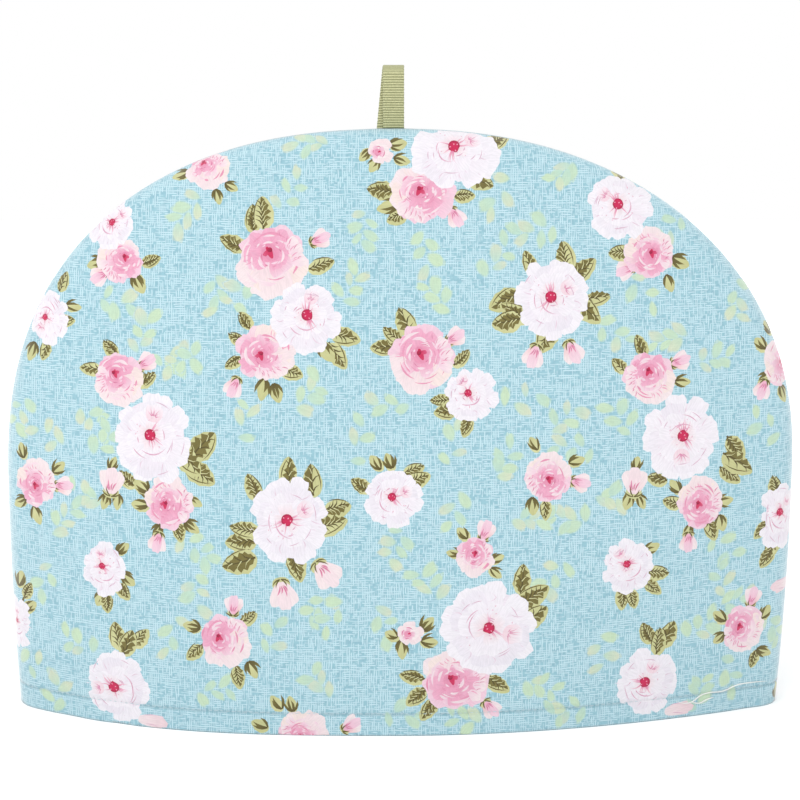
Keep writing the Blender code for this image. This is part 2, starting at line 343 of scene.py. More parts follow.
inks = dict(
    white=ink(243, 238, 244), whiteShade=ink(239, 229, 238), whiteCool=ink(234, 228, 237),
    mauve=ink(208, 156, 184), rosy=ink(222, 120, 158), crimson=ink(205, 26, 80), crimsonDark=ink(142, 14, 56),
    pink=ink(237, 175, 200), pinkLight=ink(241, 207, 221), pinkDeep=ink(230, 150, 179),
    pinkStroke=ink(206, 106, 142), blush=ink(243, 227, 229), blushShade=ink(239, 211, 217),
    peach=ink(244, 227, 221), coral=ink(238, 170, 176),
    leaf=ink(200, 199, 142), leafLight=ink(216, 214, 160), leafDark=ink(122, 110, 52), vein=ink(90, 76, 30),
    sprigMint=ink(185, 218, 203), sprigLime=ink(204, 225, 188), sprigSand=ink(222, 220, 190),
    reverse=ink(214, 234, 240),
)

# the parts of a shape's row in a print
rowPart = dict(
    near=slice(0, 3), far=slice(3, 6), start=slice(6, 8), way=slice(8, 10), length=10, cover=11, grain=12,
)
rowSize = 13


def blend(first, second, share):
    # one ink turned towards another
    return inks[first] + (inks[second] - inks[first]) * share


class Print:
    # every colour on the cloth is a closed outline, painted over those before it, whose colour runs
    # from one ink at its start to another at its far end
    def __init__(self):
        self.outlines, self.rows = [], []

    def add(self, outlines, near, far, start, way, length, cover=1.0):
        near, far = (inks[tone] if isinstance(tone, str) else tone for tone in (near, far))
        row = np.empty((len(outlines), rowSize))
        row[:, rowPart["near"]], row[:, rowPart["far"]], row[:, rowPart["start"]] = near, far, start
        row[:, rowPart["way"]] = np.stack([np.cos(way), np.sin(way)], axis=-1)
        row[:, rowPart["length"]], row[:, rowPart["cover"]] = length, cover
        # sets the brush's grain apart from its neighbours'
        row[:, rowPart["grain"]] = outlines[:, 0].sum(axis=1) * 1e4 % 97.0
        self.outlines += list(outlines)
        self.rows.append(row)

    def petals(self, base, way, length, width, ruffle, dice, near, far, run=None, **form):
        # the ink turns over the petals' length, or over a run of its own
        made = petalShapes(base, way, length, width, ruffle, dice, **form)
        self.add(made, near, far, base, way, length if run is None else run)

    def strokes(self, start, end, bend, thick, near, far, **form):
        made, way, length = strokeShapes(start, end, bend, thick, **form)
        self.add(made, near, far, start, way, length)

    def rays(self, middle, ways, inner, outer, swing, bend, thick, near, far, **form):
        # strokes that run outwards round a middle, their far ends swung aside
        start, end = around(middle, inner, ways), around(middle, outer, ways + swing)
        self.strokes(start, end, bend, thick, near, far, **form)

    def arcs(self, centre, radius, angle, span, thick, near, far, squash=1.0, stations=6):
        # strokes that lie on circles round a centre
        start, end = (around(centre, radius, a, squash) for a in (angle - span / 2, angle + span / 2))
        bend = -radius * (1.0 - np.cos(span / 2))
        self.strokes(start, end, bend, thick, near, far, stations=stations)


def turned(base, way, along, across):
    # points given along and across a way, set down from a base
    along, across = np.asarray(along), np.asarray(across)
    way = np.asarray(way)[..., None]
    x = along * np.cos(way) - across * np.sin(way)
    y = along * np.sin(way) + across * np.cos(way)
    return np.asarray(base)[..., None, :] + np.stack([x, y], axis=-1)


def around(middle, radius, ways, squash=1.0):
    # points on a circle, or on circles
    return middle + (radius * np.stack([np.cos(ways), squash * np.sin(ways)])).T


def reachOf(half, ways):
    # how far a flower of these half sizes goes each way
    return np.hypot(half[0] * np.cos(ways), half[1] * np.sin(ways))


def petalShapes(base, way, length, width, ruffle, dice, points=20, taper=0.5, blunt=0.85):
    # petals: a rounded square squeezed towards its base, its outer end frilled by two sine waves
    count = len(way)
    t = np.linspace(0.0, 2 * np.pi, points, endpoint=False)[None]
    reach, wide = (np.sign(v) * np.abs(v) ** blunt for v in (np.cos(t), np.sin(t)))
    share = (reach + 1.0) / 2
    phase = dice.uniform(0, 2 * np.pi, (2, count, 1))
    frill = ruffle * (0.5 * np.sin(4 * t + phase[0]) + 0.45 * np.sin(points // 3 * t + phase[1])) * share
    along = np.reshape(length, (-1, 1)) * (share + frill)
    across = np.reshape(width, (-1, 1)) / 2 * wide * (1.0 - taper + taper * share) * (1.0 + frill)
    return turned(base, way, along, across)


def strokeShapes(start, end, bend, thick, stations=5, taper=0.0):
    # brush strokes: a line from start to end, bowed sideways by bend, thickest at its middle, or where
    # taper is one at its start
    s = np.linspace(0.0, 1.0, stations)[None]
    run = end - start
    length = np.linalg.norm(run, axis=1)
    way = np.arctan2(run[:, 1], run[:, 0])
    middle = np.reshape(bend, (-1, 1)) * 4 * s * (1.0 - s)
    body = np.sin(np.pi * s) ** 0.8 * (1.0 - taper) + taper * (1.0 - s) ** 0.7
    half = np.reshape(thick, (-1, 1)) / 2 * body
    along = length[:, None] * s
    onward = turned(start, way, along, middle - half)
    first = 0 if taper > 0 else 1
    back = turned(start, way, along[:, first:-1], (middle + half)[:, first:-1])[:, ::-1]
    return np.concatenate([onward, back], axis=1), way, length


def fan(book, base, way, length, degrees, thick, dice):
    # dark strokes that part from one base, as on a small leaf or a calyx
    count = len(degrees)
    ways = way + np.radians(degrees) + dice.normal(0, 0.08, count)
    book.rays(base, ways, 0.06 * length, length * dice.uniform(0.8, 1.05, count), 0.0,
              0.10 * length * np.sign(degrees), thick, "vein", "leafDark", stations=4, taper=0.4)


def leaf(book, base, way, length, width, dice):
    # a flat khaki blade slipped a little under an engraved one. A small leaf is a fan of dark strokes; a
    # larger one has a notched dark flank, a tapering midrib, veins, and a line along its other edge
    base, way = np.atleast_2d(base), np.atleast_1d(way)
    t = np.linspace(0.0, 2 * np.pi, 20, endpoint=False)[None]
    along = length * (1.0 - np.cos(t)) / 2
    across = -width / 2 * np.sin(t) * np.abs(np.sin(t)) ** 0.2 * (1.15 - 0.40 * along / length)
    across = across * (1.0 + 0.07 * np.sin(9 * t + dice.uniform(0, 6)))
    slip = around(np.zeros(2), dice.uniform(0.4, 1.1) * mm, dice.normal(-1.3, 0.5))
    tone = blend("leaf", "leafLight", dice.random())
    book.add(turned(base + slip, way, along, across * 1.06), tone, "leaf", base, way, length)
    if length < 9.0 * mm or (length < 12 * mm and dice.random() < 0.15):
        degrees = [-21.0, 1.0, 21.0] if dice.random() < 0.4 else [-25.0, -8.0, 8.0, 25.0]
        fan(book, base[0], way[0], length * 0.88, degrees, dice.uniform(0.15, 0.21) * length, dice)
        return
    flank = dice.choice([-1.0, 1.0])

    def spot(alongShare, acrossShare):
        return turned(base, way, np.multiply(alongShare, length), np.multiply(acrossShare, width))[0]

    s = np.linspace(0.0, 1.0, 11)
    notch = np.where(np.arange(len(s)) % 2, 1.0, dice.uniform(0.42, 0.78, len(s)))
    edge = 0.47 * np.sin(np.pi * s ** 0.85) ** 0.8 * notch

    def darken(reach, tip, outer, inner, order, tone):
        # one side of the leaf, from a notched edge back along a line near the midrib
        out, home = spot(0.02 + reach * s, outer), spot(tip - reach * s[1:-1], np.full(len(s) - 2, inner))
        book.add(np.concatenate([out, home])[None, ::int(order)], "leafDark", tone, base, way, length)

    # the dark flank reaches nearly to the edge, notched between each pair of veins
    darken(0.95, 0.97, flank * edge, -0.03 * flank, -flank, inks["leafDark"] * 0.85)
    if dice.random() > 0.45:
        darken(0.76, 0.78, -0.8 * flank * edge, 0.0, flank, "leafDark")
    foot, tip = spot([0.0, 0.99], [0.0, 0.0])[:, None]
    book.strokes(foot, tip, flank * 0.03 * length, 0.9 * mm, "vein", "vein", taper=1.0)
    low, high = spot([0.16, 0.97], [-0.40 * flank, -0.03 * flank])[:, None]
    book.strokes(low, high, -0.16 * flank * width, 0.55 * mm, "vein", "leafDark")
    count = dice.integers(3, 6)
    place = np.linspace(0.12, 0.66, count) + dice.normal(0, 0.015, count)
    reach = 0.46 * np.sin(np.pi * (place + 0.18)) ** 0.7 * dice.uniform(0.75, 1.05, count)
    for lean, tone, thick in ((-flank, "vein", 0.85), (flank, "leafLight", 0.46)):
        start, end = spot(place, np.zeros(count)), spot(place + 0.21, lean * reach)
        book.strokes(start, end, lean * -0.07 * width, thick * mm, tone, tone, stations=3, taper=1.0)


def bud(book, at, way, size, dice):
    # a closed rose: three overlapping petals with deeper strokes, on a khaki patch with dark sepals
    pale = np.clip((size / mm - 9.0) / 4.0, 0.0, 0.8)  # large buds are paler
    tones = [blend(name, "blush", pale) for name in ("coral", "pinkLight", "pink")]
    base = around(np.asarray(at), -0.48 * size, way)
    under = around(base, -0.18 * size, way)
    book.petals(under, [way], 0.52 * size, 0.62 * size, 0.05, dice, "leaf", "leafLight", size,
                points=12, taper=0.0)
    ways = way + np.radians([-22.0, 24.0, 2.0])
    length = np.array([0.90, 0.92, 1.0]) * size
    book.petals(base, ways, length, length * np.array([0.64, 0.64, 0.55]), 0.05, dice,
                tones, [inks["blush"], inks["blush"], tones[1]], length * 0.8, taper=0.35)
    ways = way + np.radians([-24.0, -6.0, 14.0, 26.0])
    book.rays(base, ways, 0.12 * size, np.array([0.5, 0.42, 0.55, 0.4]) * size, 0.0, 0.04 * size, 0.06 * size,
              "pinkStroke", "pinkDeep")
    fan(book, around(base, -0.12 * size, way), way, 0.46 * size, [-62.0, -34.0, 30.0, 58.0], 0.8 * mm, dice)


def sprig(book, at, dice):
    # a few faint leaflets along a hidden stem, each with a soft edge, that let the cloth show through
    way = dice.uniform(0, 2 * np.pi)
    count = dice.integers(4, 7)
    along = np.linspace(-7.2, 6.2, count) * mm + dice.normal(0, 0.6, count) * mm
    side = np.where(np.arange(count) % 2, 1.0, -1.0) * dice.choice([-1.0, 1.0])
    ways = way + side * np.radians(dice.uniform(25, 75, count))
    base = at + np.outer(along, [np.cos(way), np.sin(way)])
    length = dice.uniform(6.6, 9.6, count) * mm
    width = length * dice.uniform(0.58, 0.82, count)
    tone = blend("sprigMint", "sprigLime", dice.random((count, 1)))
    tip = np.where(dice.random((count, 1)) < 0.35, inks["sprigSand"], inks["sprigLime"])
    for grow, cover in ((1.0, 0.42), (0.82, 0.90)):
        start = around(base, 0.5 * (1.0 - grow) * length, ways)
        leaflets = petalShapes(start, ways, length * grow, width * grow, 0.10, dice, points=13, taper=0.3,
                               blunt=1.1)
        book.add(leaflets, tone, tone + (tip - tone) * 0.8, base, ways, length, cover)


def ring(book, middle, half, count, reach, wide, near, far, dice, ruffle=0.07, first=0.12, points=20):
    # one ring of petals round a middle, each with its own length, width and lean
    ways = np.linspace(0, 2 * np.pi, count, endpoint=False) + dice.uniform(0, 6) + dice.normal(0, 0.2, count)
    ways = dice.permutation(ways)
    stretch = reachOf(half, ways)
    length = stretch * (reach - first) * dice.uniform(0.90, 1.06, count)
    base = around(middle, first * stretch, ways)
    width = stretch * wide * dice.uniform(0.85, 1.15, count)
    near, far = (tone(ways) if callable(tone) else tone for tone in (near, far))
    book.petals(base, ways, length, width, ruffle, dice, near, far, points=points)


def disc(book, middle, half, tone, dice):
    # a wavy round patch that closes the middle of a flower
    book.petals(middle - (half[0], 0.0), [0.0], 2 * half[0], 2 * half[1], 0.03, dice, tone, tone, taper=0.0)


def roseHeart(book, middle, mean, dice):
    # a crimson comma with a darker fold at its top, in a glow of deeper pink
    way = np.array([np.pi / 2 + dice.normal(0, 0.4)])
    lean = dice.choice([-1.0, 1.0])
    tall, wide = 0.33 * mean, 0.22 * mean
    glow, base, hook, fold = (around(middle, share * tall, way) for share in (-0.72, -0.5, 0.22, 0.08))
    book.petals(glow, way, 1.44 * tall, 1.6 * wide, 0.12, dice, "pinkDeep", blend("pinkDeep", "rosy", 0.4),
                1.5 * tall, points=14, taper=0.2)
    book.petals(base, way, tall, wide, 0.14, dice, blend("crimson", "rosy", 0.15), "crimson",
                points=16, taper=0.55)
    book.petals(hook, way + 1.9 * lean, 0.62 * tall, 0.62 * wide, 0.10, dice, "crimson",
                blend("crimson", "rosy", 0.5), points=12, taper=0.2)
    book.add(petalShapes(fold, way - 0.5 * lean, 0.38 * tall, 0.7 * wide, 0.08, dice, points=10, taper=0.1),
             "crimsonDark", "crimson", fold, way, 0.5 * tall)


def whiteHeart(book, middle, mean, dice):
    # a small round crimson knot, dark on one side, with pink specks, and two tufts of rosy rays
    radius = np.clip(0.24 * mean - 1.25 * mm, 1.15 * mm, 2.6 * mm)
    tuft = dice.uniform(0, 6)
    tufts = dice.normal(tuft, 0.30, 5), dice.normal(tuft + 2.3, 0.28, 4), dice.uniform(0, 6, 3)
    outer = radius * dice.uniform(1.7, 3.3, 12)
    book.rays(middle, np.concatenate(tufts), 0.6 * radius, outer, 0.0, dice.normal(0, 0.07, 12) * outer,
              0.75 * mm, "rosy", "pinkLight", taper=1.0)
    side = dice.uniform(0, 6, 1)
    for reach, wide, tone in ((1.0, 2.0, blend("crimsonDark", "crimson", 0.5)), (0.66, 1.52, "crimson")):
        book.petals(around(middle, -reach * radius, side), side, wide * radius, wide * radius, 0.10, dice,
                    tone, tone, points=15, taper=0.0, blunt=1.0)
    ways = dice.uniform(0, 6) + np.arange(4) * 1.7
    specks = around(middle, radius * np.array([0.15, 0.5, 0.62, 0.45]), ways)
    book.petals(specks, ways, 0.30 * radius, 0.26 * radius, 0.0, dice, "rosy", "pinkLight", 1 * mm, points=7)


def pinkRose(book, at, half, middle, pale, dice):
    # broad petals, blush on the pale side; in front of them a scalloped pink cup, swirled with light and
    # deep arcs round a crimson heart
    towards = np.radians(pale)
    mean = half.mean()
    disc(book, at, half * 0.84, "pinkLight", dice)

    def sided(dark, light, bias=0.45):
        return lambda ways: blend(dark, light, np.clip(bias + 1.6 * np.cos(ways - towards), 0, 1)[:, None])

    ring(book, at, half, 9, 1.0, 0.80, sided("pink", "blush", 0.3), sided("pinkLight", "blush"), dice,
         ruffle=0.09, first=0.30)
    ring(book, at, half, 7, 0.84, 0.80, sided("pinkDeep", "blushShade", 0.1),
         sided("pinkLight", "peach", 0.3), dice, ruffle=0.09, first=0.22)
    disc(book, at, half * 0.55, "blush", dice)
    # the pale skirt, with a few faint folds
    ways = towards + np.radians([-56.0, 50.0, -4.0]) + dice.normal(0, 0.1, 3)
    base = around(middle, 0.14 * mean, ways)
    outer = np.linalg.norm(around(at, reachOf(half, ways), ways) - base, axis=1)
    outer = outer * np.array([0.90, 0.92, 0.97])
    book.petals(base, ways, outer, outer * 1.02, 0.07, dice, "blushShade",
                [inks["blush"], inks["peach"], inks["blush"]], points=24, taper=0.35)
    ways = towards + dice.uniform(-0.9, 0.9, 5)
    book.rays(middle, ways, 0.5 * mean, dice.uniform(0.68, 0.9, 5) * mean, 0.0,
              dice.normal(0, 0.05, 5) * mean, 0.5 * mm, "blushShade", "peach")
    # the cup stands towards the other side
    cup = middle + 0.4 * (at - middle) - 0.10 * mean * np.array([np.cos(towards), np.sin(towards)])
    ring(book, cup, half, 8, 0.72, 0.52, "pinkDeep", sided("pink", "pinkLight", 0.1), dice,
         ruffle=0.10, first=0.14)
    ring(book, 0.5 * (cup + middle), half, 6, 0.52, 0.46, "pinkDeep", "pink", dice, ruffle=0.10, first=0.06)
    disc(book, middle, half * 0.24, "pinkDeep", dice)
    # arcs from outside in, wide light ones and narrow deep ones
    count = 36
    rings = np.sort(dice.uniform(0.16, 0.76, count))[::-1]
    angle = np.arange(count) * 2.4 + dice.normal(0, 0.4, count)
    centre = middle + (at - middle) * rings[:, None] + dice.normal(0, 0.05, (count, 2)) * mean
    light = dice.random(count) < 0.55
    thick = np.where(light, dice.uniform(0.6, 1.3, count), dice.uniform(0.4, 0.8, count)) * mm * (0.6 + rings)
    span = dice.uniform(0.3, 1.15, count)
    light, inner = light[:, None], (rings < 0.32)[:, None]
    near = np.where(light, np.where(inner, inks["pinkLight"], inks["blush"]),
                    np.where(inner, inks["pinkStroke"], inks["pinkDeep"]))
    far = np.where(light, inks["pinkLight"], inks["pinkDeep"])
    book.arcs(centre, rings * mean, angle, span, thick, near, far, half[1] / half[0])
    # a frill of light petals at one side, combed with short bowed strokes of deeper pink
    side = towards + dice.choice([-1.0, 1.0]) * np.radians(105.0)
    ways = side + np.radians([-26.0, 24.0, 0.0]) + dice.normal(0, 0.1, 3)
    base = around(at, 0.52 * mean, ways)
    book.petals(base, ways, 0.40 * mean, 0.44 * mean, 0.10, dice, "pinkLight", "blush")
    combs = ((0.0, 0.56, 7, "pinkDeep"), (0.25, 0.68, 5, "pinkStroke"), (2.2, 0.56, 6, "pinkDeep"))
    for lean, reach, count, tone in combs:
        ways = side + lean + np.linspace(-0.5, 0.5, count) + dice.normal(0, 0.05, count)
        inner = (reach + dice.normal(0, 0.02, count)) * mean
        outer = (reach + dice.uniform(0.12, 0.27, count)) * mean
        book.rays(at, ways, inner, outer, dice.uniform(0.05, 0.16, count), 0.35 * mm,
                  dice.uniform(0.36, 0.56, count) * mm, tone, "pink", stations=4)
    roseHeart(book, middle, mean, dice)


def whiteRose(book, at, half, middle, dice):
    # frilled near-white petals with faint pleats, a few mauve arcs, and a rosy fold beside the heart
    between = 0.5 * (at + middle)
    mean = half.mean()

    def toned(ways):
        return blend("whiteCool", "white", dice.random((len(ways), 1)))

    disc(book, at, half * 0.8, "whiteShade", dice)
    ring(book, at, half, 12, 1.0, 0.60, toned, "white", dice, first=0.45, points=24)
    ring(book, at, half, 8, 0.84, 0.74, "whiteShade", toned, dice, first=0.25, points=24)
    # thin lines that part the broad petals
    count = 6
    ways = dice.uniform(0, 6) + np.arange(count) * 1.05 + dice.normal(0, 0.18, count)
    stretch = reachOf(half, ways)
    inner, outer = (dice.uniform(*limits, count) * stretch for limits in ((0.50, 0.60), (0.72, 0.86)))
    book.rays(at, ways, inner, outer, dice.normal(0, 0.12, count), dice.normal(0, 0.06, count) * mean,
              0.48 * mm, blend("mauve", "whiteShade", 0.3), "whiteShade")
    disc(book, between, half * 0.45, "whiteShade", dice)
    ring(book, between, half, 7, 0.62, 0.56, "whiteShade", "white", dice, first=0.10)
    ring(book, middle, half, 5, 0.38, 0.40, "blushShade", "white", dice, ruffle=0.10, first=0.02)
    disc(book, middle, half * 0.14, "blushShade", dice)
    # pleats: short faint lines that run outwards
    count = 14
    ways = np.arange(count) * 2.4 + dice.normal(0, 0.2, count)
    reach = dice.uniform(0.50, 0.86, count) * mean
    book.rays(between, ways, reach, reach + dice.uniform(0.8, 2.4, count) * mm, 0.0,
              dice.normal(0, 0.15, count) * mm, 0.34 * mm, blend("mauve", "whiteShade", 0.5), "whiteShade",
              stations=3)
    # a second, rosy eye beside the heart, with rays on its outer side
    side = dice.uniform(0, 6)
    eye = around(middle, 0.40 * mean, side)
    base = around(eye, -0.10 * mean, side)
    book.add(petalShapes(base, [side], 0.42 * mean, 0.46 * mean, 0.12, dice, taper=0.2),
             blend("pinkLight", "blush", 0.4), "white", eye, side, 0.34 * mean)
    count = 8
    ways = side + np.linspace(-1.1, 1.1, count) + dice.normal(0, 0.12, count)
    inner, outer = (dice.uniform(*limits, count) * mean for limits in ((0.02, 0.07), (0.13, 0.30)))
    book.rays(eye, ways, inner, outer, 0.0, dice.normal(0, 0.02, count) * mean, 0.55 * mm,
              blend("rosy", "mauve", 0.4), "pinkLight", stations=4, taper=1.0)
    # a long thin double arc over the heart's other side, and a few short arcs, fainter further out
    count = 9
    share = np.concatenate([[0.40, 0.49], dice.uniform(0.20, 0.32, 2), dice.uniform(0.52, 0.76, 5)])
    span = np.concatenate([[1.8, 0.9], dice.uniform(0.5, 0.9, 2), dice.uniform(0.25, 0.60, 5)])
    angle = side + np.pi + np.concatenate([[0.3, -0.4], dice.uniform(0, 6, 7)])
    thick = np.array([0.62, 0.46, 0.5, 0.5, 0.4, 0.4, 0.36, 0.36, 0.36]) * mm
    centre = middle + (at - middle) * share[:, None] + dice.normal(0, 0.05, (count, 2)) * mean
    tone = np.where(np.arange(count)[:, None] < 4, blend("rosy", "mauve", 0.65), inks["mauve"])
    book.arcs(centre, share * mean, angle, span, thick, tone, inks["whiteShade"] * 0.5 + tone * 0.5,
              half[1] / half[0], stations=7)
    # specks of pink round the heart
    count = 9
    ways = dice.uniform(0, 2 * np.pi, count)
    start = around(middle, dice.uniform(0.16, 0.55, count) * mean, ways)
    end = around(start, dice.uniform(0.5, 1.5, count) * mm, dice.uniform(0, 6, count))
    book.strokes(start, end, 0.1 * mm, 0.5 * mm, blend("rosy", "mauve", 0.5), "pinkLight", stations=3)
    whiteHeart(book, middle, mean, dice)


def smallRose(book, at, size, way, dice):
    # a half-open bloom: blush petals round a pink cup with a crimson spot, set towards its leafy side
    half = np.array([size, size * 0.92])
    ring(book, at, half, 5, 1.0, 1.1, "blushShade", "blush", dice, ruffle=0.05, first=0.1)
    disc(book, at, half * 0.6, "blush", dice)
    low = around(at, -0.26 * size, way)
    ring(book, low, half * 0.56, 5, 1.0, 0.9, "pinkDeep", "pinkLight", dice, first=0.05)
    disc(book, low, half * 0.26, "pinkDeep", dice)
    ways = way + dice.uniform(0, 6) + np.arange(4) * 1.6
    book.arcs(low, size * np.array([0.5, 0.42, 0.34, 0.24]), ways, dice.uniform(0.7, 1.4, 4), 0.5 * mm,
              "pinkStroke", "pinkDeep")
    book.petals(low, [way], 1.4 * mm, 1.0 * mm, 0.0, dice, "crimson", "crimson", points=8)


def loosePetal(book, at, way, dice):
    # a single petal with two mauve lines
    long = motifSize["petalLong"]
    book.petals(around(at, -long / 2, way), [way], long, motifSize["petalWide"], 0.10, dice, "blush",
                "blushShade", taper=0.35, blunt=0.6)
    start = at + np.array([[-4.5, 2.2], [-3.0, -1.6]]) * mm
    book.strokes(start, start + np.array([[8.0, 0.6], [6.5, -0.8]]) * mm, 0.3 * mm, 0.42 * mm,
                 "mauve", "pinkLight")


def mapped(motif):
    # a motif's pixels turned into places on the flat cloth, and its half sizes into metres
    leaves, buds = motif.get("leaves", ()), motif.get("buds", ())
    spots = flatAt([motif["at"], motif.get("heart", motif["at"]), *leaves, *buds])
    half = np.array(motif.get("half", motifSize["small"])) / view["focalPixels"] * view["printAway"]
    return dict(at=spots[0], heart=spots[1], leaves=spots[2:2 + len(leaves)], buds=spots[2 + len(leaves):],
                half=half, pale=motif.get("pale", 90.0), budSize=motif.get("budSize", motifSize["bud"]),
                form=motif.get("form"), way=np.radians(motif.get("way", 90.0)))


def paintPrint(book, pinks, whites, smalls, pale):
    # the painting order is sprigs, leaves and buds, small roses, pink roses, white roses; every motif has
    # dice of its own, by its kind and its place in the table
    for motif, seed in pale:
        sprig(book, motif["at"], np.random.default_rng([7, seed]))
    for kind, (name, group) in enumerate(dict(pink=pinks, white=whites, small=smalls).items(), 1):
        for motif, seed in group:
            dice = np.random.default_rng([kind, seed])
            size = motif["half"].mean()

            def outwardFrom(spot, spread):
                # the way from the rose's middle, give or take
                run = spot - motif["at"]
                return np.arctan2(run[1], run[0]) + dice.normal(0, spread)

            for spot in motif["leaves"]:
                way = outwardFrom(spot, 0.3)
                length = np.clip(size * leafShare[name], *leafLimits) * dice.uniform(0.82, 1.14)
                width = length * dice.uniform(0.53, 0.70)
                leaf(book, around(spot, -0.5 * length, way), way, length, width, dice)
            for spot in motif["buds"]:
                bud(book, spot, outwardFrom(spot, 0.2), motif["budSize"] * mm, dice)
    for motif, seed in smalls:
        dice = np.random.default_rng([4, seed])
        at, way = motif["at"], motif["way"]
        if motif["form"] == "open":
            smallRose(book, at, motifSize["open"], way, dice)
        elif motif["form"] == "cup":
            bud(book, at, way, motifSize["cup"], dice)
        else:
            loosePetal(book, at, way, dice)
    for motif, seed in pinks:
        dice = np.random.default_rng([5, seed])
        pinkRose(book, motif["at"], motif["half"], motif["heart"], motif["pale"], dice)
    for motif, seed in whites:
        dice = np.random.default_rng([6, seed])
        whiteRose(book, motif["at"], motif["half"], motif["heart"], dice)


def numbered(group):
    return [(mapped(motif), seed) for seed, motif in enumerate(group)]


def shifted(group, by):
    # the same motifs moved along the cloth by one distance
    moved = []
    for motif, seed in group:
        copy = dict(motif)
        for key in ("at", "heart", "leaves", "buds"):
            copy[key] = motif[key] + (by, 0.0) if len(motif[key]) else motif[key]
        moved.append((copy, seed))
    return moved


def tiled(group):
    # one repeat of the cloth, laid side by side across the back
    within = [(m, s) for m, s in group if 0 <= m["at"][0] - repeat["fromX"] < repeat["width"]]
    rows = [row for k in (-1, 0, 1) for row in shifted(within, repeat["backShift"] + k * repeat["width"])]
    return [(m, s) for m, s in rows if abs(m["at"][0]) < repeat["furthest"]]


motifRows = [numbered(group) for group in (pinkRoses, whiteRoses, smallBuds)]
sprigMotifs = (dict(at=spot, heart=spot, leaves=(), buds=()) for spot in flatAt(sprigs))
motifRows.append([(motif, seed) for seed, motif in enumerate(sprigMotifs)])
frontPrint, backPrint = Print(), Print()
paintPrint(frontPrint, *motifRows)
paintPrint(backPrint, *map(tiled, motifRows))
print("print drawn:", len(frontPrint.outlines), "shapes in front,", len(backPrint.outlines), "behind")


def panelOutline(side):
    # the flat cloth's edge: the arch let out by what the rounded edge takes up, and the hem by its fold
    point, out = archAt(np.linspace(0.0, 1.0, 520))
    let = (np.pi / 2 - 1.0) * panel["edgeRound"]
    over = point + out * let
    low = -(np.pi / 2 - 1.0) * panel["hemRound"]
    hem = np.linspace(over[-1, 0], over[0, 0], 260)[1:-1]
    corner = np.array([[over[-1, 0], low]])
    bottom = np.stack([hem, np.full(len(hem), low)], axis=1)
    line = np.concatenate([over, corner, bottom, [[over[0, 0], low]]])
    return line if side > 0 else (line * (-1, 1))[::-1]


def extraPoints(side, pitch, rows, columns, levels):
    # points between the printed shapes: a grid inside, rows along the rounded edge, and rows along the hem;
    # the cloth goes about 183 mm to each side and 266 mm up
    x, z = np.meshgrid(np.arange(-180, 181, pitch) * mm, np.arange(3, 266, pitch) * mm)
    grid = np.stack([x.ravel(), z.ravel()], axis=1)
    grid = grid + 0.15 * mm * np.sin(grid[:, ::-1] * 9173.0)
    grid = grid[archDistance(grid)[0] > panel["edgeRound"]]
    point, out = archAt(np.linspace(0.0, 1.0, columns))
    band = (point[None] - out[None] * (np.array(rows) * mm)[:, None, None]).reshape(-1, 2)
    band = band[band[:, 1] > 0.5 * mm]
    x, z = np.meshgrid(np.linspace(-183, 183, 150) * mm, np.array(levels) * mm)
    hem = np.stack([x.ravel(), z.ravel()], axis=1)
    hem = hem[archDistance(hem)[0] > -4.3 * mm]
    return np.concatenate([grid, band, hem]) * (side, 1)


def cut(points, lines, faces):
    # Blender's triangulation of points in millimetres: places, triangles, and what each place, line and
    # triangle came from
    places, made, corners, fromPoint, fromLine, fromFace = delaunay_2d_cdt(
        [Vector(p) for p in points.tolist()], lines, faces, 0, 1e-4, True)
    places = np.array([tuple(p) for p in places])
    return places, np.array(made), np.array(corners), fromPoint, fromLine, fromFace


def triangleEdges(corners):
    # the three directed edges of every triangle
    return np.concatenate([corners[:, [0, 1]], corners[:, [1, 2]], corners[:, [2, 0]]]).astype(np.int64)


def findEach(wanted, known):
    # for each wanted number, a place among the known ones, and whether it is there
    order = np.argsort(known)
    place = order[np.clip(np.searchsorted(known[order], wanted), 0, len(order) - 1)]
    return place, known[place] == wanted


def neighbours(corners, count):
    # every triangle's edges, the same as numbers, and for each the triangle across it, or -1
    edges = triangleEdges(corners)
    onward, backward = edges[:, 0] * count + edges[:, 1], edges[:, 1] * count + edges[:, 0]
    across, found = findEach(backward, onward)
    return edges, onward, np.where(found, across % len(corners), -1)


